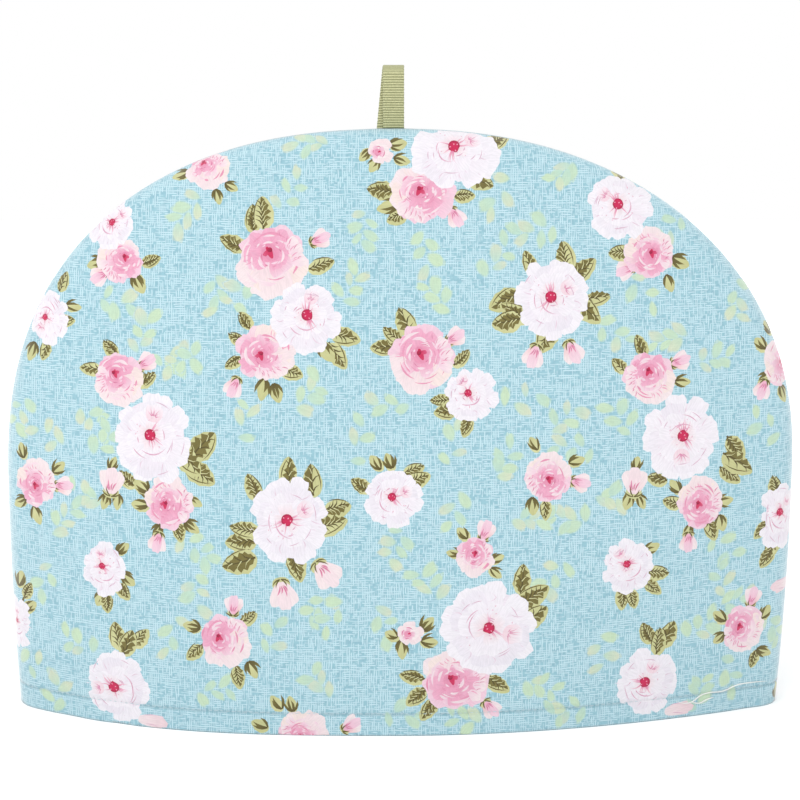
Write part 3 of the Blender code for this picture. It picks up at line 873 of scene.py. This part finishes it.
def triangulate(outline, shapes, extra):
    # first every printed shape is cut into the outline, then only the lines where two colours meet are kept
    # and the rest is cut again; each triangle has the number of the topmost shape on it, or 0 for bare
    # cloth, and -1 lies outside the outline
    unknown = -9
    parts = [outline, *shapes]
    starts = np.append(0, np.cumsum([len(part) for part in parts]))
    faces = [list(range(a, b)) for a, b in zip(starts[:-1], starts[1:])]
    places, _, corners, _, _, fromFace = cut(np.concatenate(parts) / mm, [], faces)
    top = np.array([max(inside) if 0 in inside else -1 for inside in fromFace])
    edges, _, across = neighbours(corners, len(places))
    left = np.tile(top, 3)
    right = np.where(across >= 0, top[across], -2)
    seen = left != right
    edges, left = edges[seen], left[seen]
    kept, edges = np.unique(edges, return_inverse=True)
    edges = edges.reshape(-1, 2)
    lines = np.unique(np.sort(edges, axis=1), axis=0)
    points = np.concatenate([places[kept], extra / mm])
    places, made, corners, fromPoint, fromLine, _ = cut(points, lines.tolist(), [])
    # each triangle beside a kept line takes that line's colour, and hands it on to those it joins freely
    became = np.full(len(points), -1)
    for place, sources in enumerate(fromPoint):
        became[list(sources)] = place
    sides, onward, across = neighbours(corners, len(places))
    edges = became[edges].astype(np.int64)
    place, match = findEach(onward, edges[:, 0] * len(places) + edges[:, 1])
    top = np.full(len(corners), unknown)
    top[np.flatnonzero(match) % len(corners)] = left[place][match]
    barred = np.sort(made[[len(sources) > 0 for sources in fromLine]], axis=1)
    barred = np.isin(np.sort(sides, axis=1) @ (len(places), 1), barred @ (len(places), 1))
    owner = np.tile(np.arange(len(corners)), 3)
    free = (across >= 0) & ~barred
    owner, across = owner[free], across[free]
    while (top == unknown).any():
        given = (top[owner] == unknown) & (top[across] != unknown)
        if not given.any():
            break
        top[owner[given]] = top[across[given]]
    used, corners = np.unique(corners[top >= 0], return_inverse=True)
    return places[used] * mm, corners.reshape(-1, 3), top[top >= 0]


def rimOf(flat, corners):
    # the points on the outer edge, in order round it: those whose edges belong to one triangle only
    edges = triangleEdges(corners)
    _, index, count = np.unique(np.sort(edges, axis=1), axis=0, return_inverse=True, return_counts=True)
    rim = np.unique(edges[count[index.reshape(-1)] == 1])
    angle = np.arctan2(flat[rim, 1] - 90 * mm, flat[rim, 0])  # seen from a point well inside
    return rim[np.argsort(angle)]


# Points between the printed shapes, in millimetres: the grid's pitch, how many columns the rounded edge
# has, how far in from the arch each of its rows is, and the heights of the rows along the hem.
outerPoints = dict(
    pitch=5.2, columns=224,
    rows=(-4.6, -4.2, -3.6, -2.8, -1.8, -0.6, 0.8, 2.4, 4.2, 6.2, 8.4),
    levels=(-0.28, -0.1, 0.12, 0.35, 0.65, 1.4, 8.0, 8.9, 9.5, 10.0, 10.5, 11.1, 12.0),
)
innerPoints = dict(pitch=9.0, columns=110, rows=(-3.5, -2, 0, 3, 6), levels=(2, 8))
# where the faces lie on their own map, how much ink the bare sides have, and a shift for the back's weave
clothMap = dict(
    corner=(-187 * mm, -1 * mm), scale=2.62, left=0.008, low=0.008, innerScale=0.34, innerLow=0.745,
    rimLeft=0.37, rimLong=0.6, rimLow=0.78, rimHigh=0.02, innerCover=0.45, rimCover=0.25, backShift=311.0,
)


def makePanel(name, side, book):
    flat, corners, top = triangulate(panelOutline(side), book.outlines, extraPoints(side, **outerPoints))
    rim = rimOf(flat, corners)
    innerFlat, innerCorners, _ = triangulate(flat[rim], [], extraPoints(side, **innerPoints))
    # the inner face's rim points follow the outer face's, so that the two can be sewn together
    innerRim = rimOf(innerFlat, innerCorners)
    if len(innerRim) != len(rim):
        raise SystemExit(f"{name}: the two faces' edges don't match")
    outer = onPanel(flat, side)
    outerWay = outwardWay(flat, side)
    innerWay = outwardWay(innerFlat, side, finished=False)
    inner = onPanel(innerFlat, side, finished=False) - panel["thick"] * innerWay
    inner[:, 1] = -side * np.maximum(-side * inner[:, 1], panel["gap"] / 2)
    # the hem's edge lies level on z = 0, and the seam's edge upright beside the other panel
    onHem = innerFlat[innerRim, 1] < 1e-6
    inner[innerRim[onHem], 2] = 0.0
    inner[innerRim[~onHem], 1] = -side * panel["gap"] / 2
    inner[:, 2] = np.maximum(inner[:, 2], 0.0)
    outer[rim[flat[rim, 1] < 1e-6], 2] = 0.0
    first = np.stack([rim, innerRim + len(flat)])
    after = np.roll(first, -1, axis=1)
    joins = np.concatenate([np.stack([first[0], first[1], after[1]], axis=1),
                            np.stack([first[0], after[1], after[0]], axis=1)])
    points = np.concatenate([outer, inner])
    innerCorners = innerCorners[:, ::-1]
    faces = np.concatenate([corners, innerCorners + len(flat), joins])
    piece = placedMesh(name, points, faces.tolist())
    print(name, len(flat), "points and", len(faces), "triangles")
    paintCorners(piece.data, book, flat, corners, top, innerFlat, innerCorners, rim, side)
    # smooth shading from the worked-out slopes, flat on the narrow edges
    edgeWay = np.cross(points[joins[:, 1]] - points[joins[:, 0]], points[joins[:, 2]] - points[joins[:, 0]])
    edgeWay /= np.maximum(np.linalg.norm(edgeWay, axis=1), 1e-15)[:, None]
    ways = [outerWay[corners.ravel()], -innerWay[innerCorners.ravel()], np.repeat(edgeWay, 3, axis=0)]
    piece.data.shade_smooth()
    piece.data.normals_split_custom_set(np.concatenate(ways).tolist())
    return piece


def addValues(mesh, name, values, domain="CORNER"):
    # a number or a vector for each corner or point
    kind, key = ("FLOAT", "value") if values.ndim == 1 else ("FLOAT_VECTOR", "vector")
    mesh.attributes.new(name, kind, domain).data.foreach_set(key, values.astype(np.float32).ravel())


def paintCorners(mesh, book, flat, corners, top, innerFlat, innerCorners, rim, side):
    # ink is a corner's colour, cover how much of the woven ground it hides, stroke the brush's own
    # coordinates, and cloth the place on the flat cloth in millimetres
    rows = np.concatenate([np.zeros((1, rowSize)), *book.rows])
    row = {part: np.repeat(rows[top], 3, axis=0)[:, columns] for part, columns in rowPart.items()}
    spot = flat[corners.ravel()]
    run = spot - row["start"]
    along = (run * row["way"]).sum(axis=1)
    across = run[:, 1] * row["way"][:, 0] - run[:, 0] * row["way"][:, 1]
    share = np.clip(along / np.maximum(row["length"], 1e-9), 0.0, 1.0)[:, None]
    colour = row["near"] + (row["far"] - row["near"]) * share
    stroke = np.stack([along / mm, across / mm, row["grain"]], axis=1)
    # the inner face and the narrow edges are bare: each rim point and the next have two triangles
    count = len(rim)
    bare = innerCorners.size + 6 * count
    colour = np.concatenate([colour, np.tile(inks["reverse"], (bare, 1))])
    stroke = np.concatenate([stroke, np.zeros((bare, 3))])
    cover = np.concatenate([row["cover"], np.full(innerCorners.size, clothMap["innerCover"]),
                            np.full(6 * count, clothMap["rimCover"])])
    ends = np.stack([flat[rim], np.roll(flat[rim], -1, axis=0)], axis=1)
    shares = np.stack([np.arange(count), np.arange(count) + 1], axis=1) / count
    shares = shares * clothMap["rimLong"] + clothMap["rimLeft"]
    low, high = clothMap["rimLow"], clothMap["rimLow"] + clothMap["rimHigh"]
    rimSpots, rimPlaces = [], []
    for picks, levels in (([0, 0, 1], (high, low, low)), ([0, 1, 1], (high, low, high))):
        rimSpots.append(ends[:, picks].reshape(-1, 2))
        rimPlaces.append(np.stack([shares[:, picks], np.tile(levels, (count, 1))], axis=-1).reshape(-1, 2))
    spots = np.concatenate([spot, innerFlat[innerCorners.ravel()], *rimSpots])
    weaveShift = np.full((len(spots), 1), 0.0 if side > 0 else clothMap["backShift"])
    cloth = np.concatenate([spots / mm, weaveShift], axis=1)
    # the map: the outer face large, the inner one small above it, the narrow edges in a strip
    place = (spots[:-6 * count] - clothMap["corner"]) * clothMap["scale"]
    outside, inside = place[:corners.size], place[corners.size:] * clothMap["innerScale"]
    uv = np.concatenate([outside + (clothMap["left"], clothMap["low"]),
                         inside + (clothMap["left"], clothMap["innerLow"]), *rimPlaces])
    mesh.uv_layers.new(name="OFBake").uv.foreach_set("vector", uv.astype(np.float32).ravel())
    for name, values in dict(ink=colour, cover=cover, stroke=stroke, cloth=cloth).items():
        addValues(mesh, name, values)


class Wire:
    # a socket that takes sums in Python: each operator adds one Math node
    def __init__(self, recipe, socket):
        self.recipe, self.socket = recipe, socket

    def maths(self, other, operation, swapped=False):
        pair = (other, self) if swapped else (self, other)
        return self.recipe.node("ShaderNodeMath", dict(operation=operation), {0: pair[0], 1: pair[1]})

    def __add__(self, other):
        return self.maths(other, "ADD")

    def __sub__(self, other):
        return self.maths(other, "SUBTRACT")

    def __rsub__(self, other):
        return self.maths(other, "SUBTRACT", swapped=True)

    def __mul__(self, other):
        return self.maths(other, "MULTIPLY")

    def over(self, other):
        return self.maths(other, "MAXIMUM")

    __radd__, __rmul__ = __add__, __mul__


class Recipe:
    # one material and the nodes in it
    def __init__(self, name, **fixed):
        self.material = bpy.data.materials.new(name)
        self.material.use_nodes = True
        self.tree = self.material.node_tree
        self.shader = self.tree.nodes["Principled BSDF"]
        for socket, value in fixed.items():
            self.shader.inputs[socket.replace("_", " ")].default_value = value

    def node(self, kind, settings, inputs, output=0):
        made = self.tree.nodes.new(kind)
        for key, value in settings.items():
            setattr(made, key, value)
        for key, value in inputs.items():
            self.feed(made.inputs[key], value)
        return Wire(self, made.outputs[output])

    def feed(self, socket, value):
        if isinstance(value, Wire):
            self.tree.links.new(value.socket, socket)
        else:
            socket.default_value = value

    def finish(self, **links):
        for socket, value in links.items():
            self.feed(self.shader.inputs[socket.replace("_", " ")], value)
        return self.material

    def attribute(self, name, output="Vector"):
        return self.node("ShaderNodeAttribute", dict(attribute_name=name), {}, output)

    def scaled(self, vector, scale, move=(0.0, 0.0, 0.0)):
        return self.node("ShaderNodeMapping", {}, {"Vector": vector, "Scale": scale, "Location": move})

    def noise(self, vector, detail=1.0, rough=0.5):
        return self.node("ShaderNodeTexNoise", {}, {"Vector": vector, "Scale": 1.0, "Detail": detail,
                                                    "Roughness": rough})

    def step(self, value, low, high, start=0.0, end=1.0):
        return self.node("ShaderNodeMapRange", dict(interpolation_type="SMOOTHSTEP"),
                         {0: value, 1: low, 2: high, 3: start, 4: end})

    def mix(self, share, first, second):
        return self.node("ShaderNodeMix", dict(data_type="RGBA"), {0: share, 6: first, 7: second}, 2)

    def bump(self, height, strength, distance):
        return self.node("ShaderNodeBump", {}, {"Height": height, "Strength": strength, "Distance": distance})


def rgba(colour):
    return (*[float(c) for c in colour], 1.0)


linen = dict(
    gap=ink(156, 199, 212), stroke=ink(213, 237, 244), deep=ink(146, 188, 203),
    rows=1.0, long=0.24, patch=0.14,  # rows, stroke ends and patches in each millimetre
    # the last setting but one sets how dark the painted shade along the stitch groove is
    strokeCover=0.88, inkCover=0.97, paintedGrooveShade=0.72, threadHigh=0.12 * mm,
)


def drawnLines(recipe, run, rise, seed):
    # straight pale strokes in rows: one line to a row, broken along its run and set a little off its place
    rows = rise * linen["rows"]
    row = rows.maths(0.0, "FLOOR")
    vary = recipe.node("ShaderNodeCombineXYZ", {}, {"X": run * linen["long"], "Y": row * 5.37, "Z": seed})
    there = recipe.step(recipe.noise(vary, 1.0), 0.42, 0.50)
    shake = recipe.noise(recipe.scaled(vary, (1.0, 1.0, 1.0), (11.0, 3.0, seed)), 0.0) * 0.7 - 0.35
    off = (rows - row - 0.5 + shake).maths(0.0, "ABSOLUTE")
    return there * recipe.step(off, 0.06, 0.34, 1.0, 0.0)


def printedCotton(name):
    # the ground is drawn threads, level in some patches and upright in others, and darker along the groove of
    # the
    #  stitching as painted shade; the ink lies on it in brush strokes
    recipe = Recipe(name, Roughness=0.85, Specular_IOR_Level=0.2, Sheen_Weight=1.0, Sheen_Roughness=0.4)
    cloth = recipe.attribute("cloth")
    run, rise = (recipe.node("ShaderNodeSeparateXYZ", {}, {0: cloth}, k) for k in ("X", "Y"))
    level, upright = drawnLines(recipe, run, rise, 3.0), drawnLines(recipe, rise, run, 29.0)
    patch = recipe.noise(recipe.scaled(cloth, (linen["patch"], linen["patch"], 1.0)), 1.0)
    patch = recipe.step(patch, 0.42, 0.58)
    drawn = (level * (1.0 - patch * 0.4)).over(upright * (patch * 0.4 + 0.6))
    dark = recipe.step(recipe.noise(recipe.scaled(cloth, (0.5, 0.5, 1.0), (3.0, 9.0, 2.0)), 3.0), 0.40, 0.70)
    ground = recipe.mix(dark, rgba(linen["gap"]), rgba(linen["deep"]))
    ground = recipe.mix(drawn * linen["strokeCover"], ground, rgba(linen["stroke"]))
    # painted shade: the ground is darkened in a band along the stitch groove, where shade falls
    fromStitches = (rise - panel["stitchHeight"] / mm + 0.3).maths(0.0, "ABSOLUTE")
    crease = recipe.step(fromStitches, 0.25, 0.95, 0.42, 0.0)
    ground = recipe.mix(crease, ground, rgba(linen["deep"] * linen["paintedGrooveShade"]))
    brush = recipe.noise(recipe.scaled(recipe.attribute("stroke"), (0.30, 1.7, 1.0)), 2.0, 0.6)
    painted = recipe.node("ShaderNodeVectorMath", dict(operation="SCALE"),
                          {0: recipe.attribute("ink"), "Scale": recipe.step(brush, 0.25, 0.75, 0.93, 1.04)})
    colour = recipe.mix(recipe.attribute("cover", "Fac") * linen["inkCover"], ground, painted)
    weave = recipe.noise(recipe.scaled(cloth, (2.2, 2.2, 1.0)), 2.0, 0.7)
    return recipe.finish(Base_Color=colour, Roughness=recipe.step(weave, 0.3, 0.7, 0.80, 0.92),
                         Normal=recipe.bump(weave + drawn * 0.15, 0.5, linen["threadHigh"]))


def finishPiece(piece, material, slot, *nodes):
    piece.data.materials.append(material)
    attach(piece, "root")
    if nodes:
        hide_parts(*nodes)


cotton = printedCotton("printed cotton")
for name, side, book, node, slot in (
    ("front_cloth", 1, frontPrint, "front_panel", "printed_cotton_front"),
    ("back_cloth", -1, backPrint, "back_panel", "printed_cotton_back"),
):
    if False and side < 0:
        book = Print()
    piece = makePanel(name, side, book)
    finishPiece(piece, cotton, slot, node)


def tubes(name, paths, radius, rings=6):
    # round threads carried along many paths at once, with rounded ends: paths is (count, stations, 3)
    along = np.gradient(paths, axis=1)
    along /= np.linalg.norm(along, axis=2)[..., None]
    aside = np.cross(along, (0.0, 0.3, 1.0))
    aside /= np.linalg.norm(aside, axis=2)[..., None]
    over = np.cross(aside, along)
    turn = np.linspace(0, 2 * np.pi, rings, endpoint=False)
    s = np.linspace(-1, 1, paths.shape[1])
    size = radius * np.clip(1.0 - np.abs(s) ** 6, 0.12, 1.0)
    circle = aside[:, :, None] * np.cos(turn)[:, None] + over[:, :, None] * np.sin(turn)[:, None]
    points = paths[:, :, None] + circle * size[None, :, None, None]
    count, stations = paths.shape[:2]
    number = np.arange(count * stations * rings).reshape(count, stations, rings)
    after = np.roll(number, -1, axis=2)
    quads = np.stack([number[:, :-1], number[:, 1:], after[:, 1:], after[:, :-1]], axis=-1).reshape(-1, 4)
    caps = [row.tolist() for row in number[:, 0]] + [row[::-1].tolist() for row in number[:, -1]]
    piece = placedMesh(name, points, quads.tolist() + caps)
    piece.data.shade_smooth()
    return piece


thread = dict(
    pitch=2.6 * mm, stitch=2.1 * mm, fromX=-176 * mm, toX=176 * mm, radius=0.15 * mm, rise=0.06 * mm,
    sink=0.34 * mm, colour=ink(206, 224, 230), shade=0.85,
)


def hemStitches():
    # short threads in the groove above the hem, dipping into the cloth at both ends
    paths = []
    for side in (1, -1):
        middle = np.arange(thread["fromX"], thread["toX"], thread["pitch"])
        share = np.linspace(-0.5, 0.5, 7)
        x = middle[:, None] + share[None] * thread["stitch"]
        flat = np.stack([x, np.full_like(x, panel["stitchHeight"])], axis=-1).reshape(-1, 2)
        height = np.tile(thread["rise"] - thread["sink"] * (2 * share) ** 4, len(middle))
        spot = onPanel(flat, side) + outwardWay(flat, side) * height[:, None]
        paths.append(spot.reshape(len(middle), len(share), 3))
    return tubes("hem_stitches", np.concatenate(paths), thread["radius"])


def threadMaterial(name, look):
    # a twisted thread, in its colour and a shade of it
    recipe = Recipe(name, Roughness=0.7, Specular_IOR_Level=0.3)
    place = recipe.node("ShaderNodeTexCoord", {}, {}, "Object")
    twist = recipe.noise(recipe.scaled(place, (900.0, 900.0, 2600.0)), 2.0)
    pale, shade = rgba(look["colour"]), rgba(look["colour"] * look["shade"])
    return recipe.finish(Base_Color=recipe.mix(recipe.step(twist, 0.3, 0.7), shade, pale),
                         Normal=recipe.bump(twist, 0.6, 0.1 * mm))


finishPiece(hemStitches(), threadMaterial("hem thread", thread), "printed_cotton_front")


def smoothLine(points, stations):
    # a line through points: each coordinate is a cubic through them in their order, by chord length
    points = np.asarray(points, dtype=float)
    step = np.append(0.0, np.cumsum(np.linalg.norm(np.diff(points, axis=0), axis=1)))
    wanted = np.linspace(0.0, step[-1], stations)
    slope = np.gradient(points, step, axis=0)
    index = np.clip(np.searchsorted(step, wanted, side="right") - 1, 0, len(step) - 2)
    span = (step[index + 1] - step[index])[:, None]
    t = ((wanted - step[index])[:, None]) / span
    a, b = points[index], points[index + 1]
    m, n = slope[index] * span, slope[index + 1] * span
    line = (2 * t**3 - 3 * t**2 + 1) * a + (t**3 - 2 * t**2 + t) * m
    return line + (3 * t**2 - 2 * t**3) * b + (t**3 - t**2) * n


looseThread = dict(
    line=((675, 701), (684, 703), (691, 702), (698, 697), (706, 693), (722, 691), (736, 685), (753, 682),
          (767, 681)),
    fork=((691, 702), (699, 703), (707, 699), (714, 697)),
    radius=0.30 * mm, colour=ink(250, 251, 248), shade=0.93,
)


def threadTail(name, pixels, stations):
    # a thread lying on the front panel
    flat = flatAt(smoothLine(pixels, stations))
    spot = onPanel(flat) + outwardWay(flat) * looseThread["radius"] * 0.9
    return tubes(name, spot[None], looseThread["radius"])


tail = threadTail("thread_tail", looseThread["line"], 44)
fork = threadTail("thread_fork", looseThread["fork"], 16)
paleThread = threadMaterial("pale thread", looseThread)
for piece in (tail, fork):
    finishPiece(piece, paleThread, "printed_cotton_front")

ribbon = dict(
    width=9.5 * mm, thick=0.9 * mm, atX=-2.9 * mm, height=28.0 * mm, halfOpening=4.2 * mm, lean=2.8 * mm,
    pitch=1.15 * mm, rib=0.14 * mm, plainTop=3.6 * mm, perRib=6, sunk=0.25 * mm,
    pale=ink(214, 212, 165), paleShade=ink(194, 195, 147), groove=ink(112, 116, 74), topTone=ink(164, 166, 124),
)


def loopPath():
    # the ribbon's middle line: two legs that part by a smooth step and a half circle over the top
    footY = ribbon["thick"] / 2 + ribbon["rib"] + panel["gap"] / 2
    footZ = arch["height"] + panel["gap"]
    turnZ = arch["height"] + ribbon["height"] - ribbon["thick"] / 2 - ribbon["halfOpening"]
    share = np.linspace(0.0, 1.0, 80)
    legY = footY + (ribbon["halfOpening"] - footY) * share**2 * (3.0 - 2.0 * share)
    legZ = footZ + (turnZ - footZ) * share
    turn = np.linspace(0.0, np.pi, 80)[1:-1]
    y = np.concatenate([-legY, -ribbon["halfOpening"] * np.cos(turn), legY[::-1]])
    z = np.concatenate([legZ, turnZ + ribbon["halfOpening"] * np.sin(turn), legZ[::-1]])
    return y, z


def makeRibbon():
    # a flat section carried along the path, its two faces ribbed by a rounded wave, its selvedges rounded
    pathY, pathZ = loopPath()
    length = np.append(0.0, np.cumsum(np.hypot(np.diff(pathY), np.diff(pathZ))))
    count = int(length[-1] / ribbon["pitch"] * ribbon["perRib"])
    at = np.linspace(0.0, length[-1], count)
    y, z = (np.interp(at, length, values) for values in (pathY, pathZ))
    alongY, alongZ = np.gradient(y), np.gradient(z)
    size = np.hypot(alongY, alongZ)
    normal = np.stack([np.zeros(count), -alongZ / size, alongY / size], axis=1)
    fromTop = np.abs(at - length[-1] / 2)
    ribbed = np.clip((fromTop - ribbon["plainTop"]) / (2 * ribbon["pitch"]), 0.0, 1.0)
    wave = np.abs(np.sin(np.pi * at / ribbon["pitch"])) * 2.0 - 1.0
    half = ribbon["thick"] / 2 + ribbon["rib"] * ribbed * wave
    lean = -ribbon["lean"] * np.clip(2.0 * at / length[-1] - 1.0, 0.0, 1.0)
    # the section goes round: the outer face, one selvedge, the inner face, the other selvedge
    turn = np.linspace(-np.pi / 2, np.pi / 2, 5)
    across = np.linspace(-1.0, 1.0, 7)
    edge = ribbon["thick"] / 2
    flatHalf = ribbon["width"] / 2 - edge
    u = np.concatenate([across * flatHalf, flatHalf + edge * np.cos(turn[::-1])[1:-1], -across * flatHalf,
                        -flatHalf - edge * np.cos(turn)[1:-1]])
    face = np.ones(len(across))
    v = np.concatenate([face, np.sin(turn[::-1])[1:-1], -face, np.sin(turn)[1:-1]])
    wobble = 0.05 * mm * np.sin(at[:, None] * 2900 + np.sign(u)[None])
    x = ribbon["atX"] + lean[:, None] + u[None] + wobble * (np.abs(u)[None] > flatHalf)
    middle = np.stack([np.zeros(count), y, z], axis=1)
    points = middle[:, None] + normal[:, None] * (half[:, None] * v[None])[..., None]
    points[..., 0] = x
    points[[0, -1], :, 2] = arch["height"] - ribbon["sunk"]
    number = np.arange(points.shape[0] * points.shape[1]).reshape(points.shape[:2])
    after = np.roll(number, -1, axis=1)
    quads = np.stack([number[:-1], after[:-1], after[1:], number[1:]], axis=-1).reshape(-1, 4)
    ends = [number[0][::-1].tolist(), number[-1].tolist()]
    piece = placedMesh("ribbon", points, quads.tolist() + ends)
    piece.data.shade_smooth()
    along = np.repeat(at / mm, points.shape[1])
    spots = np.stack([np.tile(u / mm, count), along, np.zeros(len(along))], axis=1)
    addValues(piece.data, "along", spots, "POINT")
    return piece, float(length[-1])


def grosgrain(length):
    # pale ribs over dark grooves, plain and a little greyer where the ribbon turns over the top
    recipe = Recipe("grosgrain ribbon", Roughness=0.55, Specular_IOR_Level=0.4, Sheen_Weight=0.2,
                    Sheen_Roughness=0.4)
    place = recipe.attribute("along")
    run = recipe.node("ShaderNodeSeparateXYZ", {}, {0: place}, "Y")
    plain = recipe.step((run - length / 2 / mm).maths(0.0, "ABSOLUTE"), 3.0, 6.5, 1.0, 0.0)
    wave = (run * (2 * np.pi / (ribbon["pitch"] / mm))).maths(0.0, "COSINE") * 0.5 + 0.5
    warp = recipe.noise(recipe.scaled(place, (4.0, 0.5, 1.0)), 2.0)
    tone = recipe.mix(recipe.step(warp, 0.3, 0.7), rgba(ribbon["paleShade"]), rgba(ribbon["pale"]))
    colour = recipe.mix(wave * wave * (0.9 - plain * 0.75), tone, rgba(ribbon["groove"]))
    # the part over the top is mixed towards a greyer tone
    colour = recipe.mix(plain * 0.8, colour, rgba(ribbon["topTone"]))
    return recipe.finish(Base_Color=colour, Normal=recipe.bump(warp, 0.4, 0.08 * mm))


loop, loopLength = makeRibbon()
finishPiece(loop, grosgrain(loopLength), "grosgrain_ribbon", "ribbon_loop")
print("ribbon length", round(loopLength / mm, 1), "mm")

studio = dict(
    floorRadius=2.5, floorSides=96, floor=ink(252, 252, 252), floorPatch=(0.97, 0.97, 0.97),
    glow=0.55, glowNear=0.22, glowFrom=0.12, glowTo=0.8, horizon=0.31, zenith=1.37,
    keyPower=7.5, keySize=1.1, keyAt=(-0.55, -1.0, 1.35), keyTo=(0.0, 0.0, 0.12),
)
black, white = rgba((0, 0, 0)), rgba((1, 1, 1))


def makeStudio():
    # a round pale floor that glows a little far from the cosy, so that it meets the white behind
    # without an edge
    sides = studio["floorSides"]
    turn = np.linspace(0.0, 2 * np.pi, sides, endpoint=False)
    rim = np.stack([np.cos(turn), np.sin(turn), np.zeros(sides)], axis=1) * studio["floorRadius"]
    floor = placedMesh("floor", rim, [list(range(sides))])
    recipe = Recipe("pale floor", Roughness=0.9, Specular_IOR_Level=0.1, Emission_Strength=studio["glow"])
    place = recipe.node("ShaderNodeTexCoord", {}, {}, "Object")
    away = recipe.node("ShaderNodeVectorMath", dict(operation="LENGTH"), {0: place}, "Value")
    soft = recipe.step(recipe.noise(recipe.scaled(place, (3.0, 3.0, 3.0)), 2.0), 0.3, 0.7)
    glow = recipe.step(away, studio["glowFrom"], studio["glowTo"], studio["glowNear"], 1.0)
    floor.data.materials.append(recipe.finish(
        Base_Color=recipe.mix(soft, rgba(studio["floor"]), rgba(studio["floorPatch"])),
        Emission_Color=recipe.mix(glow, black, white)))
    lamp = bpy.data.lights.new("key", "AREA")
    lamp.energy, lamp.size = studio["keyPower"], studio["keySize"]
    key = placed("key", lamp)
    key.location = studio["keyAt"]
    key.rotation_euler = (Vector(studio["keyTo"]) - key.location).to_track_quat("-Z", "Y").to_euler()
    # the sky is brighter overhead, and shows as plain white behind the cosy
    world = bpy.data.worlds.new("studio")
    bpy.context.scene.world = world
    world.use_nodes = True
    tree = world.node_tree
    tree.nodes.clear()
    made = {name: tree.nodes.new(kind) for name, kind in (
        ("lit", "ShaderNodeBackground"), ("seen", "ShaderNodeBackground"), ("rays", "ShaderNodeLightPath"),
        ("pick", "ShaderNodeMixShader"), ("out", "ShaderNodeOutputWorld"), ("way", "ShaderNodeTexCoord"),
        ("axes", "ShaderNodeSeparateXYZ"), ("rise", "ShaderNodeMapRange"))}
    for name in ("lit", "seen"):
        made[name].inputs[0].default_value = white
    made["rise"].inputs[3].default_value = studio["horizon"]
    made["rise"].inputs[4].default_value = studio["zenith"]
    for source, output, target, socket in (
        ("way", "Generated", "axes", 0), ("axes", "Z", "rise", 0), ("rise", 0, "lit", 1),
        ("rays", "Is Camera Ray", "pick", 0), ("lit", 0, "pick", 1), ("seen", 0, "pick", 2),
        ("pick", 0, "out", 0),
    ):
        tree.links.new(made[source].outputs[output], made[target].inputs[socket])
    bpy.context.scene.view_settings.view_transform = "Standard"


makeStudio()
print("studio set")
